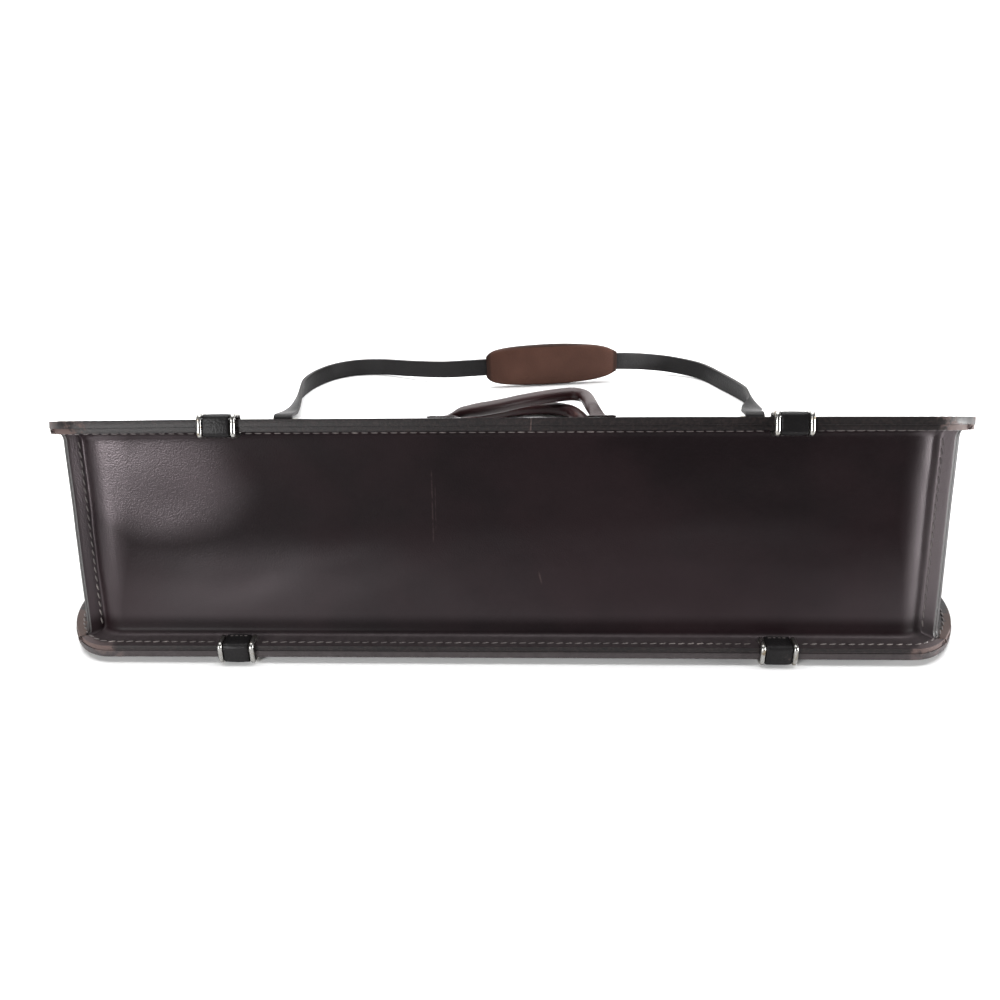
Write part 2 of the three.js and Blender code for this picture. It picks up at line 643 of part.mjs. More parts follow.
function strapStations() {
  const row = ({ across, out, rise, turn }) => ({
    place: new THREE.Vector3(across * TAB_PLACE, PANEL_HEIGHT + out * STRAP_REACH, rise * STRAP_WIDTH),
    turn: THREE.MathUtils.degToRad(turn),
  });
  const still = (place) => ({ place, turn: 0 });
  // The strap's own end goes under each ring's far bar, up through the ring and back over the bar.
  const bowRadius = STRAP_RING_WIRE / 2 + LEATHER_GAP + STRAP_THICKNESS / 2;
  const end = (side) => {
    const bow = barPlace(side).add(new THREE.Vector3(0, STRAP_RING_DEPTH, 0));
    const flat = Math.PI / 2;
    return [-90, -130, -180, -230, -270].map((degrees) => {
      const t = THREE.MathUtils.degToRad(degrees);
      const place = bow.clone().add(new THREE.Vector3(0, bowRadius * Math.cos(t), bowRadius * Math.sin(t)));
      return { place, turn: flat };
    });
  };
  const left = [...end(-1), ...STRAP_LEFT.map(row)];
  const right = [...STRAP_RIGHT.map(row), ...end(1).reverse()];
  const middle = [still(padEnd(-1)), still(padEnd(1))];
  const rows = [...left, ...middle, ...right];
  const curve = new THREE.CatmullRomCurve3(rows.map((r) => r.place), false, "centripetal");
  const stations = [];
  rows.forEach((here, i) => {
    const next = rows[i + 1];
    const inPad = next && here === middle[0];
    const steps = inPad ? 1 : 3;
    for (let j = 0; j < steps && (next || j === 0); j++) {
      const share = j / steps;
      const t = (i + share) / (rows.length - 1);
      const place = inPad ? here.place.clone() : curve.getPoint(t);
      const turn = next ? here.turn + (next.turn - here.turn) * share : here.turn;
      stations.push({ place, turn, along: middle.includes(here) && j === 0 ? padAxis : curve.getTangent(t) });
    }
  });
  return stations;
}

function makeStrap() {
  // The level direction across the strap keeps its side where the strap turns back round a bar,
  // and where it stands straight up there it stays as it was.
  let across = new THREE.Vector3(-1, 0, 0);
  const grid = strapStations().map(({ place, turn, along }) => {
    const level = new THREE.Vector3(along.y, -along.x, 0);
    if (level.length() < 0.35) level.copy(across);
    if (level.dot(across) < 0) level.negate();
    level.normalize();
    across = level.clone();
    const upright = along.clone().cross(level).normalize().negate();
    const wide = upright.multiplyScalar(Math.cos(turn)).addScaledVector(level, Math.sin(turn)).normalize();
    return [-0.5, 0.5].map((share) => place.clone().addScaledVector(wide, share * STRAP_WIDTH));
  });
  return sheet(grid, STRAP_THICKNESS);
}

// The pad: sections along its axis, as shares of its width and thickness

const PAD_SECTIONS = [
  { along: -1, high: 0.56, thick: 0.72 },
  { along: -0.975, high: 0.73, thick: 0.82 },
  { along: -0.9, high: 0.86, thick: 0.9 },
  { along: -0.7, high: 0.95, thick: 0.97 },
  { along: -0.35, high: 0.99, thick: 1 },
  { along: 0.1, high: 1, thick: 1 },
  { along: 0.5, high: 0.96, thick: 0.98 },
  { along: 0.78, high: 0.87, thick: 0.92 },
  { along: 0.93, high: 0.73, thick: 0.84 },
  { along: 1, high: 0.54, thick: 0.72 },
];

function makePad() {
  const up = new THREE.Vector3(0, 0, 1);
  const over = padAxis.clone().cross(up).negate();
  const rings = PAD_SECTIONS.map(({ along, high, thick }) => {
    const place = padMiddle.clone().addScaledVector(padAxis, (along * PAD_LENGTH) / 2);
    return arc(16, 0, 2 * Math.PI).slice(0, 16).map((t) => {
      const round = (value) => Math.sign(value) * Math.abs(value) ** 0.72;
      return place.clone()
        .addScaledVector(up, round(Math.sin(t)) * (high * PAD_WIDTH) / 2)
        .addScaledVector(over, round(Math.cos(t)) * (thick * PAD_THICKNESS) / 2);
    });
  });
  const slotDepth = STRAP_THICKNESS + 2 * LEATHER_GAP;
  const slotHeight = STRAP_WIDTH + 2 * LEATHER_GAP;
  const slot = new THREE.BoxGeometry(PAD_LENGTH + 4, slotDepth, slotHeight);
  slot.rotateZ(padAngle).translate(padMiddle.x, padMiddle.y, padMiddle.z);
  return solidOf(skinRings(rings, false)).subtract(solidOf(slot));
}

// The assembly, with its origin under the middle of its bounding box

const group = new THREE.Group();

function add(name, geometry, material) {
  const mesh = new THREE.Mesh(geometry, material);
  mesh.name = name;
  group.add(mesh);
}

const frames = { back: backFrame, front: frontFrame };
const sides = { left: -1, right: 1 };

for (const [name, frame] of Object.entries(frames)) {
  add(`${name}_panel`, geometryOf(makePanel(frame)), DARK_LEATHER);
  for (const [side, sign] of Object.entries(sides)) {
    const x = sign * FITTING_PLACE;
    add(`${name}_sleeve_${side}`, makeRimSleeve(frame, x), STRAP_LEATHER);
    add(`${name}_ring_${side}_1`, makeRimRing(frame, x - RING_SPACING / 2), SILVER);
    add(`${name}_ring_${side}_2`, makeRimRing(frame, x + RING_SPACING / 2), SILVER);
  }
}
add("bottom_gusset", geometryOf(makeBottomGusset()), DARK_LEATHER);
for (const [side, sign] of Object.entries(sides)) {
  add(`side_gusset_${side}`, geometryOf(makeSideGusset(sign)), DARK_LEATHER);
  add(`ring_tab_${side}`, geometryOf(makeRingTab(sign)), STRAP_LEATHER);
  add(`strap_ring_${side}`, makeStrapRing(sign), SILVER);
}
add("front_handle", makeHandle(frontFrame, FRONT_GRIP), HANDLE_LEATHER);
add("back_handle", makeHandle(backFrame, BACK_GRIP), HANDLE_LEATHER);
add("strap", makeStrap(), STRAP_LEATHER);
add("shoulder_pad", geometryOf(makePad()), PAD_LEATHER);

const box = new THREE.Box3().setFromObject(group);
const middle = box.getCenter(new THREE.Vector3());
group.position.set(-middle.x, -middle.y, -box.min.z);

export default group;
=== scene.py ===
"""Looks of a leather document case that lies on its back panel.

All measures are millimetres in the case's own frame: X to the right, Y from the bottom edge of the
back panel towards the mouth, Z up from the surface. A Workshop turns them into the frame's metres.
"""

from __future__ import annotations

import logging
import math
from collections.abc import Callable, Iterable, Sequence
from dataclasses import dataclass, field
from enum import Enum
from typing import TypeVar

import bmesh
import bpy
from mathutils import Matrix, Vector, noise

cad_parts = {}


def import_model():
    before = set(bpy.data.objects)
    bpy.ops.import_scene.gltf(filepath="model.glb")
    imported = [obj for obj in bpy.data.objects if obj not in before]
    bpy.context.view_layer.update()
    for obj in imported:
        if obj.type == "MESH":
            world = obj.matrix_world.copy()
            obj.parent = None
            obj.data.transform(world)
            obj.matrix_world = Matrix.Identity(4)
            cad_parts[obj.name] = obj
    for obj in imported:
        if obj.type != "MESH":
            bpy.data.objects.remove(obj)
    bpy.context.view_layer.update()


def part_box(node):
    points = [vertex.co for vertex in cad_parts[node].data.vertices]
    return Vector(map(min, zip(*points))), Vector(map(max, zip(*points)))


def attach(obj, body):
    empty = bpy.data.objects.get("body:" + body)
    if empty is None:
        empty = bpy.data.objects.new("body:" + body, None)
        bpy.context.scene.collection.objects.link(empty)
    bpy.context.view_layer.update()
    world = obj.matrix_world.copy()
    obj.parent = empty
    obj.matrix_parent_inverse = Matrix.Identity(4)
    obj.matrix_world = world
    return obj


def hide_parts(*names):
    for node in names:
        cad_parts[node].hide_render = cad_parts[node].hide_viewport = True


LOG = logging.getLogger("document_case")

Grid = list[list[Vector]]
Number = TypeVar("Number", float, Vector)

MM = 0.001


# Sizes


@dataclass(frozen=True)
class CaseSizes:
    """Sizes of the panels and gussets."""

    panel_width: float = 410.0
    panel_height: float = 265.0
    panel_thickness: float = 3.0
    corner_across: float = 28.0
    corner_up: float = 44.0
    mouth_corner: float = 14.0
    bottom_depth: float = 107.0
    mouth_depth: float = 13.0
    gusset_thickness: float = 2.2
    flange_bottom: float = 10.4
    flange_side: float = 15.0
    flange_bend: float = 4.0
    rim_setback: float = 0.4
    gusset_corner: float = 16.0
    seam_width: float = 7.5
    bottom_sag: float = 4.0
    side_fold: float = 12.0
    side_gusset_top: float = 8.0
    rim_lead: float = 22.0
    gap: float = 0.3
    wire: float = 2.3

    @property
    def lift(self) -> float:
        """Height of the back panel's outer face over the surface."""
        return self.gap + self.wire

    @property
    def wedge(self) -> float:
        """Angle between the panels, in radians."""
        return 2 * math.asin((self.bottom_depth - self.mouth_depth) / (2 * self.panel_height))

    @property
    def flange_middle(self) -> float:
        """Depth of the middle of a flange under a panel's outer face."""
        return self.panel_thickness + self.gap + self.gusset_thickness / 2

    @property
    def stack(self) -> float:
        """Thickness of panel and flange together."""
        return self.panel_thickness + self.gap + self.gusset_thickness

    @property
    def wall_bottom(self) -> float:
        """Inset of the bottom wall's middle from the rim."""
        return self.flange_bottom + self.gusset_thickness / 2

    @property
    def wall_side(self) -> float:
        """Inset of the side walls' middle from the rim."""
        return self.flange_side + self.gusset_thickness / 2


@dataclass(frozen=True)
class FittingSizes:
    """Sizes of the rim rings and sleeves."""

    place: float = 119.0
    spacing: float = 14.0
    wire: float = 2.3
    hole_inset: float = 6.4
    ring_corner: float = 1.6
    sleeve_thickness: float = 1.8
    outer_leg: float = 15.0
    inner_leg: float = 8.0


@dataclass(frozen=True)
class CarrySizes:
    """Sizes of the handles, the strap and its pad."""

    grip: float = 9.6
    tongue_width: float = 18.0
    tongue_thickness: float = 2.3
    front_tongue_thickness: float = 1.2
    tongue_length: float = 38.0
    handle_middle: float = 4.0
    handle_span: float = 104.0
    handle_reach: float = 50.0
    strap_width: float = 13.0
    strap_thickness: float = 2.6
    strap_reach: float = 147.0
    pad_length: float = 104.0
    pad_width: float = 33.0
    pad_thickness: float = 9.0
    pad_x: float = 25.7
    pad_out: float = 120.5
    pad_turn: float = 7.7
    tab_inset: float = 40.0
    tab_width: float = 14.0
    tab_length: float = 40.0
    tab_thickness: float = 1.8
    ring_wire: float = 2.6
    ring_depth: float = 13.0
    ring_corner: float = 3.0
    ring_place: float = 4.0


# Curves and small maths


def spread(low: float, high: float, steps: int) -> list[float]:
    """Evenly spaced numbers from low to high, both among them."""
    return [low + (high - low) * i / steps for i in range(steps + 1)]


def smooth(value: float, low: float, high: float) -> float:
    """A smooth step from 0 at low to 1 at high."""
    share = min(max((value - low) / (high - low), 0.0), 1.0)
    return share * share * (3 - 2 * share)


def hermite(a: Number, b: Number, start: Number, end: Number, t: float) -> Number:
    """A cubic from a at 0 to b at 1, with the slopes start and end there.

    Args:
        a: the value at 0.
        b: the value at 1.
        start: the slope at 0.
        end: the slope at 1.
        t: where to read it.

    Returns:
        The value there.
    """
    return (
        (2 * t**3 - 3 * t**2 + 1) * a + (t**3 - 2 * t**2 + t) * start
        + (3 * t**2 - 2 * t**3) * b + (t**3 - t**2) * end
    )


def interpolate(table: Sequence[tuple[float, float]], at: float) -> float:
    """A smooth curve through a table of (place, value) rows.

    Args:
        table: rows in rising order of place.
        at: where to read the curve.

    Returns:
        The curve's value there.
    """
    places = [row[0] for row in table]
    if at <= places[0]:
        return table[0][1]
    if at >= places[-1]:
        return table[-1][1]
    i = max(k for k in range(len(places) - 1) if places[k] <= at)
    before, after = max(i - 1, 0), min(i + 2, len(table) - 1)
    width = places[i + 1] - places[i]
    start = (table[i + 1][1] - table[before][1]) / (places[i + 1] - places[before]) * width
    end = (table[after][1] - table[i][1]) / (places[after] - places[i]) * width
    return hermite(table[i][1], table[i + 1][1], start, end, (at - places[i]) / width)


def spline(points: Sequence[Vector], position: float) -> Vector:
    """A centripetal curve through points.

    Args:
        points: the points that it goes through.
        position: an index between two of them, with a fraction.

    Returns:
        The point there.
    """
    i = min(int(position), len(points) - 2)
    t = position - i
    b, c = points[i], points[i + 1]
    a = points[i - 1] if i > 0 else b + (b - c)
    d = points[i + 2] if i + 2 < len(points) else c + (c - b)
    knots = [max((q - p).length, 1e-6) ** 0.5 for p, q in ((a, b), (b, c), (c, d))]
    start = ((b - a) / knots[0] - (c - a) / (knots[0] + knots[1]) + (c - b) / knots[1]) * knots[1]
    end = ((c - b) / knots[1] - (d - b) / (knots[1] + knots[2]) + (d - c) / knots[2]) * knots[1]
    return hermite(b, c, start, end, t)


def circle(steps: int) -> list[float]:
    """Evenly spaced angles of a full turn, in radians."""
    return spread(0, 2 * math.pi, steps)[:-1]


def resample(line: Sequence[Vector], pitch: float) -> list[tuple[Vector, Vector]]:
    """Places along a line at an even pitch.

    Args:
        line: the line's points.
        pitch: distance between the places.

    Returns:
        The places with the line's direction there.
    """
    found = []
    left = pitch / 2
    for a, b in zip(line, line[1:]):
        length = (b - a).length
        while left <= length and length > 0:
            found.append((a.lerp(b, left / length), (b - a).normalized()))
            left += pitch
        left -= length
    return found


# The case's frames


@dataclass(frozen=True)
class PanelFrame:
    """A panel's own frame: x across, s up from its bottom edge, k inwards from its outer face.

    The bow is how far the soft bottom edge bends up in its middle.
    """

    origin: Vector
    up: Vector
    inward: Vector
    bow: float = 0.0
    width: float = 410.0

    def at(self, x: float, s: float, k: float) -> Vector:
        """The point at x, s and k.

        Args:
            x: across the panel.
            s: up the panel.
            k: inwards.

        Returns:
            The point of the case.
        """
        rise = math.cos(x / self.width * math.pi) + 0.35 * noise.noise(Vector((x * 0.012, 3.1, self.bow)))
        bend = Vector((0, 0, self.bow * rise * math.exp(-max(s, 0) / 40)))
        return self.origin + Vector((x, 0, 0)) + self.up * s + self.inward * k + bend


@dataclass
class Shell:
    """The two panels' frames, and the room between them."""

    sizes: CaseSizes
    back: PanelFrame = field(init=False)
    front: PanelFrame = field(init=False)

    def __post_init__(self) -> None:
        """Places both frames."""
        z = self.sizes
        half = z.wedge / 2
        self.back = PanelFrame(Vector((0, 0, z.lift)), Vector((0, 1, 0)), Vector((0, 0, 1)), 0.35)
        self.front = PanelFrame(
            Vector((0, z.bottom_depth * math.sin(half), z.lift + z.bottom_depth * math.cos(half))),
            Vector((0, math.cos(z.wedge), -math.sin(z.wedge))),
            Vector((0, -math.sin(z.wedge), -math.cos(z.wedge))),
            0.75,
        )

    def distance(self, s: float) -> float:
        """Straight distance between the middles of the flanges at s."""
        k = self.sizes.flange_middle
        return (self.back.at(0, s, k) - self.front.at(0, s, k)).length

    def between(self, x: float, s: float, distance: float, upper: bool = False) -> Vector:
        """A point on the line from one flange's middle to the other's.

        Args:
            x: across the case.
            s: up the panels.
            distance: from the back flange, or from the front one.
            upper: whether it counts from the front flange.

        Returns:
            The point.
        """
        k = self.sizes.flange_middle
        low, high = self.back.at(x, s, k), self.front.at(x, s, k)
        share = distance / self.distance(s)
        return high.lerp(low, share) if upper else low.lerp(high, share)

    def bottom_corner(self, inset: float, steps: int = 24) -> list[Vector]:
        """The right bottom corner of an outline, as (x, s) points from the bottom edge upwards.

        Args:
            inset: from the rim.
            steps: of the round.

        Returns:
            The points.
        """
        z = self.sizes
        a, b = z.corner_across - inset, z.corner_up - inset
        x = z.panel_width / 2 - z.corner_across
        turns = spread(0, math.pi / 2, steps)
        return [Vector((x + a * math.sin(t), z.corner_up - b * math.cos(t))) for t in turns]

    def half_width(self, s: float) -> float:
        """Half the panel's width at s.

        Args:
            s: up the panel.

        Returns:
            The half width.
        """
        z = self.sizes
        if s < z.corner_up:
            rise = (z.corner_up - s) / z.corner_up
            return z.panel_width / 2 - z.corner_across * (1 - math.sqrt(max(1 - rise**2, 0)))
        top = s - (z.panel_height - z.mouth_corner)
        if top > 0:
            return z.panel_width / 2 - z.mouth_corner + math.sqrt(max(z.mouth_corner**2 - top**2, 0))
        return z.panel_width / 2


# The workshop: meshes, pieces and materials


@dataclass(frozen=True)
class Paint:
    """Names of the float attributes that the finishes read."""

    WEAR: str = "wear"
    EDGE: str = "edge"


PAINT = Paint()


class Slot(Enum):
    """Names of the material slots."""

    CASE = "case_leather"
    HANDLE = "handle_leather"
    STRAP = "strap_leather"
    PAD = "pad_leather"
    SILVER = "silver"


@dataclass
class Workshop:
    """Makes pieces in the frame's metres from measures in the case's millimetres."""

    shift: Vector
    pieces: list[bpy.types.Object] = field(default_factory=list)

    def metres(self, point: Vector) -> Vector:
        """A point of the case in the frame."""
        return (point + self.shift) * MM

    def skin(
        self,
        grid: Grid,
        wrap_rows: bool = False,
        wrap_columns: bool = False,
        caps: bool = False,
        paint: Callable[[int, int, Vector], tuple[float, float]] | None = None,
    ) -> bmesh.types.BMesh:
        """Skins a grid of points.

        Args:
            grid: rows of points, each row of one length.
            wrap_rows: whether the last row meets the first.
            wrap_columns: whether each row is closed.
            caps: whether the first and last rows are filled.
            paint: gives wear and edge at a row, column and point.

        Returns:
            A mesh with faces outward where it is closed.
        """
        lines = [[*row, row[0]] if wrap_columns else row for row in grid]
        if wrap_rows:
            lines.append(lines[0])
        rows, columns = len(lines) - 1, len(lines[0]) - 1
        bm = bmesh.new()
        wear = bm.verts.layers.float.new(PAINT.WEAR)
        edge = bm.verts.layers.float.new(PAINT.EDGE)
        bmesh.ops.create_grid(bm, x_segments=columns, y_segments=rows, size=0.5)
        for vert in bm.verts:
            row = round((vert.co.y + 0.5) * rows)
            column = round((vert.co.x + 0.5) * columns)
            point = lines[row][column]
            if paint is not None:
                vert[wear], vert[edge] = paint(row % len(grid), column % len(grid[0]), point)
            vert.co = self.metres(point)
        bmesh.ops.remove_doubles(bm, verts=bm.verts, dist=1e-7)
        if caps:
            bmesh.ops.holes_fill(bm, edges=bm.edges, sides=0)
        bmesh.ops.recalc_face_normals(bm, faces=bm.faces)
        return bm

    def piece(
        self,
        name: str,
        bm: bmesh.types.BMesh,
        materials: Sequence[bpy.types.Material],
        slot: Slot,
        replaces: Iterable[str] = (),
        thickness: float = 0.0,
        rounding: float = 0.0,
    ) -> bpy.types.Object:
        """slot: not used. the record's slot that it takes its finish from.
            replaces: the CAD nodes that it stands for.
            thickness: of the leather round the mesh, in millimetres.
            rounding: radius of the cut edges, in millimetres.

        Returns:
            The object.
        """
        mesh = bpy.data.meshes.new(name)
        bm.to_mesh(mesh)
        bm.free()
        for material in materials:
            mesh.materials.append(material)
        for polygon in mesh.polygons:
            polygon.use_smooth = True
        piece = bpy.data.objects.new(name, mesh)
        bpy.context.scene.collection.objects.link(piece)
        if thickness > 0:
            solid = piece.modifiers.new("thickness", "SOLIDIFY")
            solid.thickness = thickness * MM
            solid.offset = 0
            solid.use_even_offset = True
            solid.material_offset_rim = len(materials) - 1
        if rounding > 0:
            bevel = piece.modifiers.new("rounding", "BEVEL")
            bevel.width = rounding * MM
            bevel.segments = 3
            bevel.limit_method = "ANGLE"
            bevel.angle_limit = math.radians(55)
        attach(piece, "root")
        nodes = list(replaces)
        if nodes:
            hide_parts(*nodes)
        self.pieces.append(piece)
        return piece


# Shader graphs


class Value:
    """A number in a shader graph, with the usual arithmetic."""

    def __init__(self, graph: Graph, socket: bpy.types.NodeSocket) -> None:
        """Wraps a socket."""
        self.graph = graph
        self.socket = socket

    def _math(self, operation: str, *values: Value | float) -> Value:
        """A Math node's result."""
        pairs = dict(enumerate(values))
        return Value(self.graph, self.graph.node("ShaderNodeMath", pairs, operation=operation))

    def __add__(self, other: Value | float) -> Value:
        """The sum."""
        return self._math("ADD", self, other)

    def __radd__(self, other: float) -> Value:
        """The sum, with the number first."""
        return self._math("ADD", other, self)

    def __sub__(self, other: Value | float) -> Value:
        """The difference."""
        return self._math("SUBTRACT", self, other)

    def __rsub__(self, other: float) -> Value:
        """The difference, with the number first."""
        return self._math("SUBTRACT", other, self)

    def __mul__(self, other: Value | float) -> Value:
        """The product."""
        return self._math("MULTIPLY", self, other)

    def __rmul__(self, other: float) -> Value:
        """The product, with the number first."""
        return self._math("MULTIPLY", other, self)

    def __truediv__(self, other: Value | float) -> Value:
        """The quotient."""
        return self._math("DIVIDE", self, other)

    def __rtruediv__(self, other: float) -> Value:
        """The quotient, with the number first."""
        return self._math("DIVIDE", other, self)

    def __pow__(self, other: Value | float) -> Value:
        """The power."""
        return self._math("POWER", self, other)

    def __abs__(self) -> Value:
        """The number without its sign."""
        return self._math("ABSOLUTE", self)

    def highest(self, other: Value | float) -> Value:
        """The larger of two numbers."""
        return self._math("MAXIMUM", self, other)

    def step(self, low: float, high: float, start: float = 0.0, end: float = 1.0) -> Value:
        """A smooth step from start at low to end at high.

        Args:
            low: where it starts.
            high: where it ends.
            start: the result up to low.
            end: the result from high.

        Returns:
            The stepped number.
        """
        socket = self.graph.node(
            "ShaderNodeMapRange",
            {"Value": self, "From Min": low, "From Max": high, "To Min": start, "To Max": end},
            interpolation_type="SMOOTHSTEP",
        )
        return Value(self.graph, socket)


class Graph:
    """A material's node graph."""

    def __init__(self, name: str) -> None:
        """Makes a material with a single surface shader.

        Args:
            name: the material's name.
        """
        self.material = bpy.data.materials.new(name)
        self.material.use_nodes = True
        self.tree = self.material.node_tree
        self.surface = self.tree.nodes["Principled BSDF"]
        self.matt = self.surface.outputs[0]
        self.output = self.tree.nodes["Material Output"].inputs["Surface"]

    def connect(self, target: bpy.types.NodeSocket, value: object) -> None:
        """Feeds a socket from a number, a colour, a Value or another socket.

        Args:
            target: the socket.
            value: what it takes.
        """
        if isinstance(value, Value):
            self.tree.links.new(value.socket, target)
        elif isinstance(value, bpy.types.NodeSocket):
            self.tree.links.new(value, target)
        else:
            target.default_value = value

    def node(
        self,
        kind: str,
        values: dict[str | int, object] | None = None,
        output: str | int = 0,
        **settings: object,
    ) -> bpy.types.NodeSocket:
        """Adds a node.

        Args:
            kind: the node's type.
            values: what its inputs take, by name or place.
            output: the output that is wanted.
            **settings: the node's own properties.

        Returns:
            The output's socket.
        """
        node = self.tree.nodes.new(kind)
        for key, setting in settings.items():
            setattr(node, key, setting)
        for key, value in (values or {}).items():
            self.connect(node.inputs[key], value)
        return node.outputs[output]

    def place(self) -> bpy.types.NodeSocket:
        """The object's own coordinates, in metres."""
        return self.node("ShaderNodeTexCoord", output="Object")

    def axes(self) -> tuple[Value, Value, Value]:
        """X, Y and Z of the object's own coordinates.

        Returns:
            The three numbers, in metres.
        """
        split = self.tree.nodes.new("ShaderNodeSeparateXYZ")
        self.connect(split.inputs[0], self.place())
        x, y, z = split.outputs
        return Value(self, x), Value(self, y), Value(self, z)

    def attribute(self, name: str) -> Value:
        """A float attribute of the mesh."""
        return Value(self, self.node("ShaderNodeAttribute", output="Fac", attribute_name=name))

    def away(self, seed: float) -> bpy.types.NodeSocket:
        """The object's coordinates moved off by a seed, for a pattern of its own."""
        shift = (seed * 0.37, seed * 0.53, seed * 0.71)
        return self.node("ShaderNodeVectorMath", {0: self.place(), 1: shift}, operation="ADD")

    def noise(self, scale: float, detail: float = 3.0, roughness: float = 0.55, seed: float = 0.0) -> Value:
        """Cloudy noise, with scale in cycles a metre."""
        values = {"Vector": self.away(seed), "Scale": scale, "Detail": detail, "Roughness": roughness}
        return Value(self, self.node("ShaderNodeTexNoise", values, "Fac", noise_dimensions="3D"))

    def cells(self, scale: float, seed: float = 0.0) -> Value:
        """Rounded cells, from 0 in the middle of each, with scale in cells a metre.

        Args:
            scale: of the cells.
            seed: of the pattern.

        Returns:
            The distance from a cell's middle.
        """
        values = {"Vector": self.away(seed), "Scale": scale}
        kind = "ShaderNodeTexVoronoi"
        return Value(self, self.node(kind, values, "Distance", voronoi_dimensions="3D", feature="F1"))

    def blend(self, factor: Value | float, first: object, second: object) -> bpy.types.NodeSocket:
        """A mix of two colours."""
        return self.node("ShaderNodeMix", {0: factor, 6: first, 7: second}, 2, data_type="RGBA")

    def bump(self, height: Value, depth: float) -> bpy.types.NodeSocket:
        """A normal for a relief of that depth in metres."""
        return self.node("ShaderNodeBump", {"Height": height, "Distance": depth, "Strength": 1.0})


def rgba(red: float, green: float, blue: float) -> tuple[float, float, float, float]:
    """An opaque colour, linear."""
    return (red, green, blue, 1.0)


@dataclass(frozen=True)
class Scratch:
    """A thin upright mark, in the case's millimetres, with its lean as x over z."""

    x: float
    low: float
    high: float
    width: float
    lean: float = 0.0
    strength: float = 0.6


@dataclass(frozen=True)
class Patch:
    """A soft-edged oval patch, in the case's millimetres."""

    x: float
    z: float
    wide: float
    high: float
    strength: float


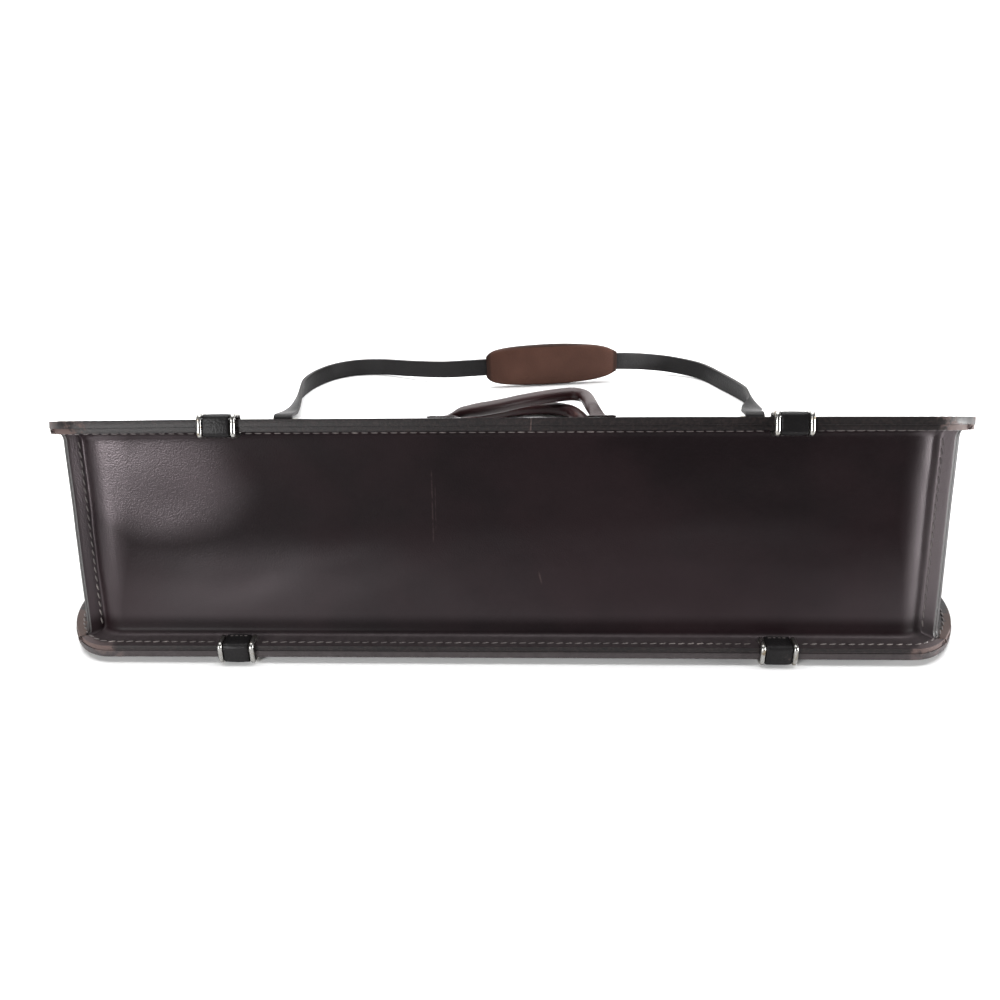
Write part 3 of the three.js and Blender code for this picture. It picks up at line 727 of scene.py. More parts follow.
@dataclass(frozen=True)
class LeatherFinish:
    """How one of the leathers looks.

    Colours are linear, the grain is cells a metre, and the relief is metres. The wall is smoother
    below one height and dusty below another, both metres in the frame.
    """

    name: str
    base: tuple[float, float, float]
    tint: tuple[float, float, float]
    worn: tuple[float, float, float]
    roughness: float
    grain: float = 900.0
    relief: float = 0.00016
    specular: float = 0.5
    smooth_below: float = 0.0
    layered: bool = False
    dusty_below: float = 0.0
    scratches: tuple[Scratch, ...] = ()
    polish: tuple[Patch, ...] = ()
    # Pale patches that paint a highlight into the colour.
    rubbed_wear_and_painted_highlight: tuple[Patch, ...] = ()

    def build(self, shift: Vector) -> bpy.types.Material:
        """Makes the material.

        Args:
            shift: from the case's millimetres to the frame's.

        Returns:
            The material.
        """
        graph = Graph(self.name)
        cloud = graph.noise(14, 3, 0.6)
        fine = graph.noise(260, 4, 0.65, 2.0)
        pebble = graph.cells(self.grain, 1.0) + graph.cells(self.grain * 2.1, 4.0) * 0.45
        pores = graph.noise(self.grain * 1.6, 2, 0.6, 7.0)
        wear = graph.attribute(PAINT.WEAR)
        edge = graph.attribute(PAINT.EDGE)
        _, _, z = graph.axes()
        bare = (wear + (fine - 0.5) * 1.1 + (cloud - 0.5) * 0.7).step(0.42, 0.62) * wear.step(0.02, 0.2)
        body = graph.blend(cloud.step(0.35, 0.68), rgba(*self.base), rgba(*self.tint))
        # Darker where the edge attribute is high: seams, sleeve sides, handle tongues and pad borders, and
        # painted shade in the gussets' flange creases.
        dark = rgba(*(part * 0.35 for part in self.base))
        body = graph.blend(edge.step(0.25, 1.0) * 0.8, body, dark)
        body = graph.blend(bare * 0.85, body, rgba(*self.worn))
        height = pebble * -1.0 + pores * 0.35
        if self.smooth_below > 0:
            level = z + (cloud - 0.5) * 0.02
            height = height * level.step(self.smooth_below - 0.02, self.smooth_below, 0.25, 1.0)
        rough = self.roughness + (cloud - 0.5) * 0.16 + (pores - 0.5) * 0.14 + bare * 0.2
        if self.layered:
            across = graph.noise(900, 2, 0.5, 9.0)
            body = graph.blend(across.step(0.4, 0.7) * 0.1, body, rgba(*self.worn))
        if self.scratches:
            mark = self.marks(graph, shift, fine)
            body = graph.blend(mark, body, rgba(*self.worn))
            height = height - mark * 0.8
        if self.dusty_below > 0:
            low = z.step(self.dusty_below - MM, self.dusty_below + MM, 0.6, 0.0)
            body = graph.blend(low * fine.step(0.2, 0.7, 0.6, 1.0), body, rgba(0.062, 0.052, 0.054))
        # Painted highlight: pale patches stand in for the right lamp's reflection up the wall's right round
        # corner.
        if self.rubbed_wear_and_painted_highlight:
            pale = rgba(0.062, 0.053, 0.055)
            body = graph.blend(self.patches(graph, self.rubbed_wear_and_painted_highlight, shift, cloud), body, pale)
        relief = graph.bump(height, self.relief)
        surface = graph.surface.inputs
        graph.connect(surface["Base Color"], body)
        graph.connect(surface["Roughness"], rough.highest(0.12))
        graph.connect(surface["Normal"], relief)
        surface["Specular IOR Level"].default_value = self.specular
        if self.polish:
            values = {
                "Base Color": body, "Roughness": (rough - 0.09).highest(0.12), "Normal": relief,
                "Specular IOR Level": 0.6, "Specular Tint": rgba(1, 0.87, 0.92),
            }
            shine = graph.node("ShaderNodeBsdfPrincipled", values)
            above_fold = z.step(0.0125, 0.018).highest(z.step(0.0085, 0.0095, 1.0, 0.0))
            polished = self.patches(graph, self.polish, shift, cloud) * above_fold
            both = graph.node("ShaderNodeMixShader", {0: polished, 1: graph.matt, 2: shine})
            graph.connect(graph.output, both)
        return graph.material

    def marks(self, graph: Graph, shift: Vector, fine: Value) -> Value:
        """Where the scratches lie.

        Args:
            graph: the material's graph.
            shift: from the case's millimetres to the frame's.
            fine: fine unevenness that breaks them up.

        Returns:
            0 beside them, up to each one's strength on them.
        """
        x, _, z = graph.axes()
        found: Value | float = 0.0
        for line in self.scratches:
            at = (line.x + shift.x) * MM
            low, high = (line.low + shift.z) * MM, (line.high + shift.z) * MM
            wide = line.width * MM
            off = abs(x - at - (z - low) * line.lean + (fine - 0.5) * wide * 1.2)
            one = off.step(wide * 0.35, wide, 1.0, 0.0) * z.step(low, low + 0.003)
            one = one * z.step(high - 0.003, high, 1.0, 0.0) * line.strength
            found = one.highest(found)
        return found * fine.step(0.3, 0.55)

    @staticmethod
    def patches(graph: Graph, patches: Iterable[Patch], shift: Vector, cloud: Value) -> Value | float:
        """Where some patches lie.

        Args:
            graph: the material's graph.
            patches: the patches.
            shift: from the case's millimetres to the frame's.
            cloud: soft unevenness of the patches' borders.

        Returns:
            0 outside them, up to each one's strength inside.
        """
        x, _, z = graph.axes()
        found: Value | float = 0.0
        for patch in patches:
            across = (x - (patch.x + shift.x) * MM) / (patch.wide * MM)
            up = (z - (patch.z + shift.z) * MM) / (patch.high * MM)
            away = (across * across + up * up) ** 0.5 + (cloud - 0.5) * 0.7
            found = away.step(0.4, 1.3, patch.strength, 0.0).highest(found)
        return found


@dataclass(frozen=True)
class MetalFinish:
    """How the silver wire looks."""

    name: str
    colour: tuple[float, float, float]
    tarnish: tuple[float, float, float]
    roughness: float

    def build(self) -> bpy.types.Material:
        """Makes the material.

        Returns:
            The material.
        """
        graph = Graph(self.name)
        spots = graph.noise(420, 4, 0.6, 3.0)
        colour = graph.blend(spots.step(0.5, 0.72), rgba(*self.colour), rgba(*self.tarnish))
        surface = graph.surface.inputs
        graph.connect(surface["Base Color"], colour)
        surface["Metallic"].default_value = 1.0
        graph.connect(surface["Roughness"], self.roughness + (spots - 0.4) * 0.3)
        graph.connect(surface["Normal"], graph.bump(graph.noise(1500, 2, 0.5), 0.00004))
        return graph.material


WALL_SCRATCHES = (
    Scratch(-31.5, 48, 84, 0.4, 0.01, 0.2),
    Scratch(-30.2, 54, 76, 0.3, 0.02, 0.16),
    Scratch(16.5, 30, 37, 0.5, -0.25, 0.3),
)
WALL_POLISH = (
    Patch(-175, 82, 19, 27, 1.0),
    Patch(-148, 77, 34, 24, 0.9),
    Patch(-184, 40, 15, 60, 0.62),
    Patch(184, 60, 13, 90, 1.0),
    Patch(80, 20, 190, 34, 0.52),
    Patch(-70, 18, 150, 30, 0.42),
    Patch(0, 3, 400, 5, 1.0),
)
CASE_BLACK, CASE_TINT = (0.0043, 0.002, 0.0027), (0.0085, 0.0038, 0.0049)
LEATHERS = {
    "case": LeatherFinish(
        "case_leather", CASE_BLACK, CASE_TINT, (0.085, 0.054, 0.046), 0.4,
        grain=1200, relief=0.00007, specular=0.26,
    ),
    "wall": LeatherFinish(
        "wall_leather", CASE_BLACK, CASE_TINT, (0.085, 0.058, 0.055), 0.46,
        grain=1500, relief=0.00006, specular=0.1, smooth_below=0.052, dusty_below=0.009,
        # The pale patch up the right round corner is a painted highlight.
        scratches=WALL_SCRATCHES, polish=WALL_POLISH, rubbed_wear_and_painted_highlight=(Patch(184, 58, 10, 62, 0.75),),
    ),
    "cut": LeatherFinish(
        "case_cut_edge", (0.006, 0.005, 0.0053), (0.0115, 0.0092, 0.0096), (0.095, 0.064, 0.058), 0.45,
        grain=1500, relief=0.00006, specular=0.22, layered=True, dusty_below=0.006,
        scratches=(Scratch(11.5, 101, 116, 0.45, 0.06, 0.6),),
    ),
    "handle": LeatherFinish(
        "handle_leather", (0.0135, 0.0042, 0.005), (0.027, 0.0085, 0.009), (0.11, 0.052, 0.042), 0.36,
        relief=0.00008, specular=0.34,
    ),
    "strap": LeatherFinish(
        "strap_leather", (0.005, 0.0045, 0.0048), (0.009, 0.0082, 0.0086), (0.06, 0.045, 0.04), 0.45,
        relief=0.0001, specular=0.16,
    ),
    "strap_cut": LeatherFinish(
        "strap_cut_edge", (0.009, 0.0075, 0.0075), (0.015, 0.013, 0.0125), (0.06, 0.045, 0.04), 0.5,
        grain=1300, relief=0.00008, specular=0.25,
    ),
    "pad": LeatherFinish(
        "pad_leather", (0.043, 0.019, 0.0132), (0.067, 0.0305, 0.0215), (0.13, 0.076, 0.056), 0.55,
        specular=0.1,
    ),
    "thread": LeatherFinish(
        "thread", (0.055, 0.046, 0.046), (0.12, 0.105, 0.1), (0.22, 0.19, 0.18), 0.6,
        grain=2600, relief=0.0001,
    ),
}
SILVER_WIRE = MetalFinish("silver_wire", (0.35, 0.345, 0.33), (0.18, 0.14, 0.09), 0.27)


@dataclass(frozen=True)
class Finishes:
    """All materials of the case."""

    case: bpy.types.Material
    wall: bpy.types.Material
    cut: bpy.types.Material
    handle: bpy.types.Material
    strap: bpy.types.Material
    strap_cut: bpy.types.Material
    pad: bpy.types.Material
    thread: bpy.types.Material
    silver: bpy.types.Material

    @classmethod
    def make(cls, shift: Vector) -> Finishes:
        """Makes every material, for pieces that are shifted by so many millimetres."""
        leathers = {name: finish.build(shift) for name, finish in LEATHERS.items()}
        return cls(silver=SILVER_WIRE.build(), **leathers)


# Panels


PANEL_EXTRA = 0.2


@dataclass
class Panel:
    """One of the two stiff leather panels."""

    shell: Shell
    frame: PanelFrame
    name: str

    def grid(self) -> Grid:
        """Points in the middle of the panel's thickness.

        Returns:
            Rows of points, from the bottom edge to the mouth.
        """
        z = self.shell.sizes
        low = [z.corner_up * (1 - math.cos(t)) for t in spread(0, math.pi / 2, 18)]
        high = [z.panel_height - z.mouth_corner * (1 - math.sin(t)) for t in spread(0, math.pi / 2, 8)]
        rows = low + spread(z.corner_up, z.panel_height - z.mouth_corner, 34)[1:-1] + high
        shares = [math.sin(t) for t in spread(-math.pi / 2, math.pi / 2, 90)]
        mixed = [0.75 * share + 0.25 * even for share, even in zip(shares, spread(-1, 1, 90))]
        grid = []
        for s in rows:
            width = self.shell.half_width(s)
            grid.append([self.frame.at(share * width, s, (z.panel_thickness + z.gap) / 2) for share in mixed])
        return grid

    def paint(self, _row: int, _column: int, point: Vector) -> tuple[float, float]:
        """Wear at the corners and along the bottom edge.

        Args:
            _row: the point's row.
            _column: its column.
            point: the point itself.

        Returns:
            Wear and edge there.
        """
        s = (point - self.frame.origin).dot(self.frame.up)
        corner = smooth(abs(point.x), 140, 203) * smooth(s, 60, 4)
        rim = smooth(s, 3, 0) * 0.3
        return 0.5 * corner + rim * 0.4, 0.0

    def build(self, shop: Workshop, looks: Finishes) -> None:
        """Makes the panel.

        Args:
            shop: the workshop.
            looks: the finishes.
        """
        bm = shop.skin(self.grid(), paint=self.paint)
        shop.piece(
            f"{self.name}_panel_leather", bm, [looks.case, looks.cut], Slot.CASE, [f"{self.name}_panel"],
            self.shell.sizes.panel_thickness + PANEL_EXTRA, 0.6,
        )


# Gussets


@dataclass(frozen=True)
class Station:
    """A column of a gusset in plan: the wall's place and outward direction, and its point on the rim.

    The flare scales the bend of its flanges, the sag how far the wall hangs in, and the seam
    goes from 0 on the wall to 1 where both gussets are sewn together.
    """

    place: Vector
    out: Vector
    rim: Vector
    flare: float = 1.0
    sag: float = 0.0
    seam: float = 0.0

    def mirrored(self) -> Station:
        """The same column on the other side of the case."""
        place, out, rim = (Vector((-v.x, v.y)) for v in (self.place, self.out, self.rim))
        return Station(place, out, rim, self.flare, self.sag, self.seam)


MITRE_OUT = Vector((math.sqrt(0.5), -math.sqrt(0.5)))
MITRE_OVER = Vector((math.sqrt(0.5), math.sqrt(0.5)))
BOTTOM_WALL = ((0.0, 0.0), (0.12, 0.25), (0.3, 0.75), (0.45, 1.0), (0.62, 0.72), (0.86, 0.22), (1.0, 0.0))
SIDE_WALL = ((0.0, 0.0), (0.06, 0.34), (0.24, 0.78), (0.5, 1.0), (0.76, 0.78), (0.94, 0.34), (1.0, 0.0))
SIDE_FOLD = ((0.0, 0.0), (0.15, 0.22), (0.35, 0.4), (0.55, 0.55), (0.75, 0.72), (0.9, 0.88), (1.0, 1.0))


@dataclass
class Gusset:
    """A gusset with its two flanges, as one sheet of leather."""

    shell: Shell
    name: str
    wall: Sequence[tuple[float, float]]
    depth: float
    wall_steps: int = 44

    @property
    def centre(self) -> Vector:
        """The middle of the gusset's corner round, as (x, s)."""
        z = self.shell.sizes
        return Vector((z.panel_width / 2 - z.wall_side - z.gusset_corner, z.wall_bottom + z.gusset_corner))

    def rim_line(self, side: int) -> list[Vector]:
        """The rim round the right corner, up to the mitre line or from it.

        Args:
            side: -1 for the bottom gusset's part, 1 for the side gusset's.

        Returns:
            Its points as (x, s), in the order from the bottom edge upwards.
        """
        z = self.shell.sizes
        line = z.panel_width / 2 - z.wall_side + z.wall_bottom + side * z.gap * math.sqrt(0.5)
        corner = self.shell.bottom_corner(z.rim_setback, 60)
        after = next(i for i, p in enumerate(corner) if p.x + p.y > line)
        a, b = corner[after - 1], corner[after]
        cross = a.lerp(b, (line - a.x - a.y) / (b.x + b.y - a.x - a.y))
        if side < 0:
            return [Vector((self.centre.x, z.rim_setback)), *corner[:after], cross]
        last = Vector((z.panel_width / 2 - z.rim_setback, self.centre.y + z.rim_lead))
        return [cross, *corner[after:], last]

    def corner_stations(self, side: int) -> list[Station]:
        """Columns round the right corner, from the straight wall to the tip of the seam.

        Args:
            side: -1 for the bottom gusset's part, 1 for the side gusset's.

        Returns:
            The columns, in that order.
        """
        z = self.shell.sizes
        offset = (z.gusset_thickness + z.gap) / 2
        turn = math.asin(offset / z.gusset_corner)
        end = math.pi / 4 + side * turn
        start = 0.0 if side < 0 else math.pi / 2
        out = MITRE_OUT
        inner = self.centre + MITRE_OVER * side * offset + out * z.gusset_corner * math.cos(turn)
        round_end = end + side * 0.16
        rim = self.rim_line(side)
        if side > 0:
            rim = rim[::-1]
        lengths = [0.0]
        for a, b in zip(rim, rim[1:]):
            lengths.append(lengths[-1] + (b - a).length)

        def rim_at(share: float) -> Vector:
            """The rim's point at a share of its length."""
            wanted = share * lengths[-1]
            i = next((k for k in range(len(rim) - 2) if lengths[k + 1] >= wanted), len(rim) - 2)
            span = lengths[i + 1] - lengths[i]
            return rim[i].lerp(rim[i + 1], min((wanted - lengths[i]) / span, 1.0))

        found = []
        for t in spread(start, round_end, 12):
            direction = Vector((math.sin(t), -math.cos(t)))
            share = abs(t - start) / abs(end - start)
            found.append(Station(self.centre + direction * z.gusset_corner, direction, rim_at(share * 0.96)))
        first = found[-1].place
        outer = inner + out * 2.2
        for t in (0.3, 0.55, 0.8, 1.0):
            a = first.lerp(inner, t)
            b = inner.lerp(outer, t)
            place = a.lerp(b, t)
            flare = 1 - 0.3 * t
            found.append(Station(place, out, rim_at(0.96 + 0.01 * t), flare, 0.0, t))
        for t in (0.25, 0.5, 0.75, 1.0):
            place = outer.lerp(inner + out * z.seam_width, t)
            found.append(Station(place, out, rim_at(0.97 + 0.03 * t), 0.7 + 0.25 * t, 0.0, 1.0))
        return found

    def column(self, station: Station) -> list[Vector]:
        """One column of the sheet, from the back panel's rim over the wall to the front panel's.

        Args:
            station: the column in plan.

        Returns:
            Its points.
        """
        z = self.shell.sizes
        height = self.shell.distance(station.place.y)
        bend = min(z.flange_bend, 0.42 * height)

        def put(distance: float, outwards: float, upper: bool) -> Vector:
            """A point of the wall or of a flange's bend."""
            place = station.place + station.out * outwards
            return self.shell.between(place.x, place.y, distance, upper)

        def foot(upper: bool) -> list[Vector]:
            """A flange and its bend, from the rim inwards."""
            frame = self.shell.front if upper else self.shell.back
            start = station.place + station.out * station.flare * bend
            flat = []
            for t in (0.0, 0.08, 0.2, 0.4, 0.6, 0.8):
                spot = station.rim.lerp(start, t)
                dish = 0.25 * math.sin(math.pi * t)
                flat.append(frame.at(spot.x, spot.y, z.flange_middle - dish))
            turns = spread(0, math.pi / 2, 7)
            return flat + [
                put(bend * (1 - math.cos(a)), station.flare * bend * (1 - math.sin(a)), upper) for a in turns
            ]

        middle = []
        for up in spread(0, 1, self.wall_steps)[1:-1]:
            inset = interpolate(self.wall, up) * station.sag * self.depth
            ripple = self.ripple(station, up) * math.sin(math.pi * up) ** 0.6
            middle.append(put(bend + up * (height - 2 * bend), ripple - inset, False))
        return [*foot(False), *middle, *reversed(foot(True))]

    def ripple(self, station: Station, up: float) -> float:
        """Soft unevenness of the wall, outwards.

        Args:
            station: the column in plan.
            up: share of the wall's height.

        Returns:
            The offset in millimetres.
        """
        x, s = station.place
        broad = noise.noise(Vector((x * 0.014, s * 0.014, up * 2.2)))
        small = noise.noise(Vector((x * 0.05, s * 0.05 + 7, up * 6.5)))
        return (1 - 0.6 * station.seam) * (0.7 * broad + 0.22 * small)

    def paint(self, stations: Sequence[Station]) -> Callable[[int, int, Vector], tuple[float, float]]:
        """Wear on the rims of the corners, painted shade in the creases, and darkness on the seams.

        Args:
            stations: the sheet's columns in plan.

        Returns:
            The rule that gives wear and edge at a point of the sheet.
        """
        last = len(self.column(stations[0])) - 1

        def rule(row: int, column: int, _point: Vector) -> tuple[float, float]:
            """Wear and edge at a station's point."""
            station = stations[row]
            from_rim = min(column, last - column)
            corner = smooth(abs(station.rim.x), 155, 196) * smooth(station.rim.y, 60, 12)
            wear = corner * (1 - smooth(from_rim, 2, 6)) * 0.85
            # Painted shade: the crease where each flange bends into the wall is darkened through the edge
            # attribute.
            painted_crease_shade = 0.35 * math.exp(-(((from_rim - 10) / 1.2) ** 2))
            return wear, max(painted_crease_shade, 0.5 * station.seam)

        return rule

    def sheet(
        self, stations: Sequence[Station], shop: Workshop, leathers: Sequence[bpy.types.Material]
    ) -> None:
        """Makes the sheet along its stations.

        Args:
            stations: the sheet's columns in plan.
            shop: the workshop.
            leathers: the faces' material and the cut edges' one.
        """
        bm = shop.skin([self.column(station) for station in stations], paint=self.paint(stations))
        thickness = self.shell.sizes.gusset_thickness
        shop.piece(f"{self.name}_leather", bm, leathers, Slot.CASE, [self.name], thickness, 0.6)


@dataclass
class BottomGusset(Gusset):
    """The gusset round the bottom, with half of each corner's seam."""

    def build(self, shop: Workshop, looks: Finishes) -> None:
        """Makes the bottom gusset.

        Args:
            shop: the workshop.
            looks: the finishes.
        """
        right = self.corner_stations(-1)
        left = [station.mirrored() for station in reversed(right)]
        z = self.shell.sizes
        straight = []
        for share in spread(-1, 1, 140)[1:-1]:
            x = share * self.centre.x
            place, rim = Vector((x, z.wall_bottom)), Vector((x, z.rim_setback))
            straight.append(Station(place, Vector((0, -1)), rim, 1.0, 1 - abs(share) ** 4))
        self.sheet([*left, *straight, *right], shop, [looks.wall, looks.cut])


@dataclass
class SideGusset(Gusset):
    """A gusset up one side, folded in at the mouth."""

    side: int = 1

    def build(self, shop: Workshop, looks: Finishes) -> None:
        """Makes the side gusset.

        Args:
            shop: the workshop.
            looks: the finishes.
        """
        z = self.shell.sizes
        top = z.panel_height - z.side_gusset_top
        edge = z.panel_width / 2
        straight = []
        for along in spread(0, 1, 70)[1:]:
            s = self.centre.y + along * (top - self.centre.y)
            rim_s = self.centre.y + z.rim_lead + along * (top - self.centre.y - z.rim_lead)
            place, rim = Vector((edge - z.wall_side, s)), Vector((edge - z.rim_setback, rim_s))
            straight.append(Station(place, Vector((1, 0)), rim, 1.0, interpolate(SIDE_FOLD, along)))
        stations = [*reversed(self.corner_stations(1)), *straight]
        if self.side < 0:
            stations = [station.mirrored() for station in stations]
        self.sheet(stations, shop, [looks.case, looks.cut])


# Wires, sleeves and tabs


def rounded_rectangle(low: Vector, high: Vector, radius: float, steps: int) -> list[Vector]:
    """A closed outline in a plane.

    Args:
        low: its lower left corner.
        high: its upper right corner.
        radius: of its rounded corners.
        steps: of each corner's round.

    Returns:
        Its points, counterclockwise.
    """
    corners = (
        (high.x - radius, high.y - radius), (low.x + radius, high.y - radius),
        (low.x + radius, low.y + radius), (high.x - radius, low.y + radius),
    )
    points = []
    for quarter, (x, y) in enumerate(corners):
        for t in spread(0, math.pi / 2, steps):
            angle = t + quarter * math.pi / 2
            points.append(Vector((x + radius * math.cos(angle), y + radius * math.sin(angle))))
    return points


def wire_rings(outline: Sequence[Vector], origin: Vector, first: Vector, second: Vector, wire: float) -> Grid:
    """Rings of points round a closed loop of wire.

    Args:
        outline: the loop in its plane.
        origin: the plane's origin.
        first: the plane's first axis.
        second: the plane's second axis.
        wire: its diameter.

    Returns:
        A closed row of points for each point of the outline.
    """
    normal = first.cross(second).normalized()
    count, radius = len(outline), wire / 2
    rings = []
    for i, p in enumerate(outline):
        along = (outline[(i + 1) % count] - outline[i - 1]).normalized()
        out = first * along.y - second * along.x
        middle = origin + first * p.x + second * p.y
        turns = circle(14)
        rings.append([middle + out * (radius * math.cos(t)) + normal * (radius * math.sin(t)) for t in turns])
    return rings


@dataclass
class RimFittings:
    """Wire rings and leather sleeves round the rims of both panels."""

    shell: Shell
    sizes: FittingSizes

    def ring(self, frame: PanelFrame, x: float) -> Grid:
        """One wire ring round the rim at x.

        Args:
            frame: the panel's frame.
            x: across the case.

        Returns:
            A closed row of points for each place along the wire.
        """
        z, f = self.shell.sizes, self.sizes
        clear = z.gap + f.wire / 2
        outline = rounded_rectangle(
            Vector((-clear, -clear)), Vector((f.hole_inset, z.stack + clear)), f.ring_corner, 6
        )
        return wire_rings(outline, frame.at(x, 0, 0), frame.up, frame.inward, f.wire)

    def sleeve(self, frame: PanelFrame, x: float) -> Grid:
        """Points in the middle of a sleeve's leather.

        Args:
            frame: the panel's frame.
            x: across the case.

        Returns:
            Rows of points across the sleeve.
        """
        z, f = self.shell.sizes, self.sizes
        clear = z.gap + f.sleeve_thickness / 2
        width = f.spacing - f.wire - 2 * z.gap
        turns = spread(0, math.pi / 2, 6)
        path = [(s, -clear) for s in spread(f.outer_leg, 1.5, 6)]
        path += [(-clear * math.sin(t), -clear * math.cos(t)) for t in turns]
        path += [(-clear * math.sin(t), z.stack + clear * math.cos(t)) for t in reversed(turns)]
        path += [(s, z.stack + clear) for s in spread(1.5, f.inner_leg - 1.2, 4)]
        grid = []
        for s, k in path:
            row = []
            for share in spread(-1, 1, 8):
                puff = 0.35 * (1 - share**2)
                away = -puff if k < z.stack / 2 else puff
                if s < 0.5:
                    row.append(frame.at(x + share * width / 2, s - puff, k))
                else:
                    row.append(frame.at(x + share * width / 2, s, k + away * 0.5))
            grid.append(row)
        return grid

    def seam_rows(self) -> list[tuple[Vector, Vector, Vector]]:
        """Start, end and normal of the rows of stitches across the sleeves' legs.

        Returns:
            The three vectors for each row.
        """
        z, f = self.shell.sizes, self.sizes
        half = (f.spacing - f.wire) / 2 - 1.6
        over = z.gap + f.sleeve_thickness
        rows = []
        for frame in (self.shell.back, self.shell.front):
            for x in (-f.place, f.place):
                for s, k, away in (
                    (f.outer_leg - 2.0, -over, -frame.inward), (f.outer_leg - 4.4, -over, -frame.inward),
                    (f.inner_leg - 2.6, z.stack + over, frame.inward),
                ):
                    rows.append((frame.at(x - half, s, k), frame.at(x + half, s, k), away))
        return rows

    def build(self, shop: Workshop, looks: Finishes) -> None:
        """Makes all rings and sleeves.

        Args:
            shop: the workshop.
            looks: the finishes.
        """
        f = self.sizes

        def rubbed_wear_and_painted_highlight(_row: int, column: int, _point: Vector) -> tuple[float, float]:
            """Even wear, and dark edges along both sides."""
            return 0.25, 0.0 if 1 < column < 7 else 0.5

        for panel, frame in (("back", self.shell.back), ("front", self.shell.front)):
            for side, sign in (("left", -1), ("right", 1)):
                x = sign * f.place
                bm = shop.skin(self.sleeve(frame, x), paint=rubbed_wear_and_painted_highlight)
                name = f"{panel}_sleeve_{side}"
                shop.piece(
                    f"{name}_leather", bm, [looks.strap, looks.strap_cut], Slot.STRAP, [name],
                    f.sleeve_thickness, 0.5,
                )
                for place, number in ((x - f.spacing / 2, 1), (x + f.spacing / 2, 2)):
                    bm = shop.skin(self.ring(frame, place), wrap_rows=True, wrap_columns=True)
                    node = f"{panel}_ring_{side}_{number}"
                    shop.piece(f"{node}_wire", bm, [looks.silver], Slot.SILVER, [node])


@dataclass
class MouthFittings:
    """Rings of the strap, and the tabs that hold them at the mouth."""

    shell: Shell
    carry: CarrySizes

    @property
    def loop(self) -> float:
        """Outer radius of a tab's loop."""
        c = self.carry
        return c.ring_wire / 2 + self.shell.sizes.gap + c.tab_thickness

    @property
    def tab_place(self) -> float:
        """Distance of the tabs from the middle of the case."""
        return self.shell.sizes.panel_width / 2 - self.carry.tab_inset

    def bar(self, side: int) -> Vector:
        """The middle of a ring's near bar.

        Args:
            side: -1 for the left one, 1 for the right one.

        Returns:
            The point.
        """
        z = self.shell.sizes
        depth = z.panel_thickness + z.gap + self.loop
        return self.shell.back.at(side * self.tab_place, z.panel_height + self.carry.ring_place, depth)

    def tab(self, side: int) -> Grid:
        """Points in the middle of a tab's leather.

        Args:
            side: -1 for the left one, 1 for the right one.

        Returns:
            Rows of points across the tab.
        """
        z, c = self.shell.sizes, self.carry
        bar = self.bar(side)
        radius = self.loop - c.tab_thickness / 2
        floor = bar.z - radius
        path = [Vector((0, y, floor)) for y in spread(z.panel_height - c.tab_length, bar.y, 14)]
        for degrees in spread(-90, 215, 20)[1:]:
            t = math.radians(degrees)
            path.append(Vector((0, bar.y + radius * math.cos(t), bar.z + radius * math.sin(t))))
        shares = spread(-0.5, 0.5, 6)
        return [[point + Vector((bar.x + share * c.tab_width, 0, 0)) for share in shares] for point in path]

    def build(self, shop: Workshop, looks: Finishes) -> None:
        """Makes the rings and tabs.

        Args:
            shop: the workshop.
            looks: the finishes.
        """
        c = self.carry
        width = max(c.strap_width, c.tab_width) + 2 * c.ring_corner + 1
        low, high = Vector((-width / 2, 0)), Vector((width / 2, c.ring_depth))
        outline = rounded_rectangle(low, high, c.ring_corner, 7)
        for side, sign in (("left", -1), ("right", 1)):
            rings = wire_rings(outline, self.bar(sign), Vector((1, 0, 0)), Vector((0, 1, 0)), c.ring_wire)
            bm = shop.skin(rings, wrap_rows=True, wrap_columns=True)
            shop.piece(f"strap_ring_{side}_wire", bm, [looks.silver], Slot.SILVER, [f"strap_ring_{side}"])
            bm = shop.skin(self.tab(sign))
            node, leathers = f"ring_tab_{side}", [looks.strap, looks.strap_cut]
            shop.piece(f"{node}_leather", bm, leathers, Slot.STRAP, [node], c.tab_thickness, 0.4)


# Handles


@dataclass(frozen=True)
class GripPoint:
    """A free point of a grip, as shares of the half span, the reach and the grip's diameter."""

    across: float
    out: float
    rise: float


FRONT_GRIP = tuple(GripPoint(*row) for row in (
    (-0.78, 0.13, 1.84), (-0.56, 0.25, 1.80), (-0.30, 0.42, 1.74), (-0.03, 0.62, 1.70),
    (0.24, 0.78, 1.68), (0.50, 0.89, 1.68), (0.71, 0.93, 1.68), (0.85, 0.83, 1.69),
    (0.91, 0.55, 1.72), (0.94, 0.26, 1.82),
))
BACK_GRIP = tuple(GripPoint(*row) for row in (
    (-0.86, 0.30, 0.46), (-0.66, 0.62, 0.50), (-0.34, 0.86, 0.50), (-0.05, 0.98, 0.50),
    (0.23, 1.02, 0.50), (0.46, 0.98, 0.50), (0.66, 0.87, 0.50), (0.76, 0.68, 0.50),
    (0.87, 0.34, 0.46),
))
FLAT_SECTION = (
    (1, 0), (1, 0.6), (0.9, 1), (0, 1), (-0.9, 1), (-1, 0.6),
    (-1, 0), (-1, -0.6), (-0.9, -1), (0, -1), (0.9, -1), (1, -0.6),
)


@dataclass(frozen=True)
class Section:
    """A handle's section: its middle, width, thickness and how round it is."""

    place: Vector
    wide: float
    thick: float
    round: float


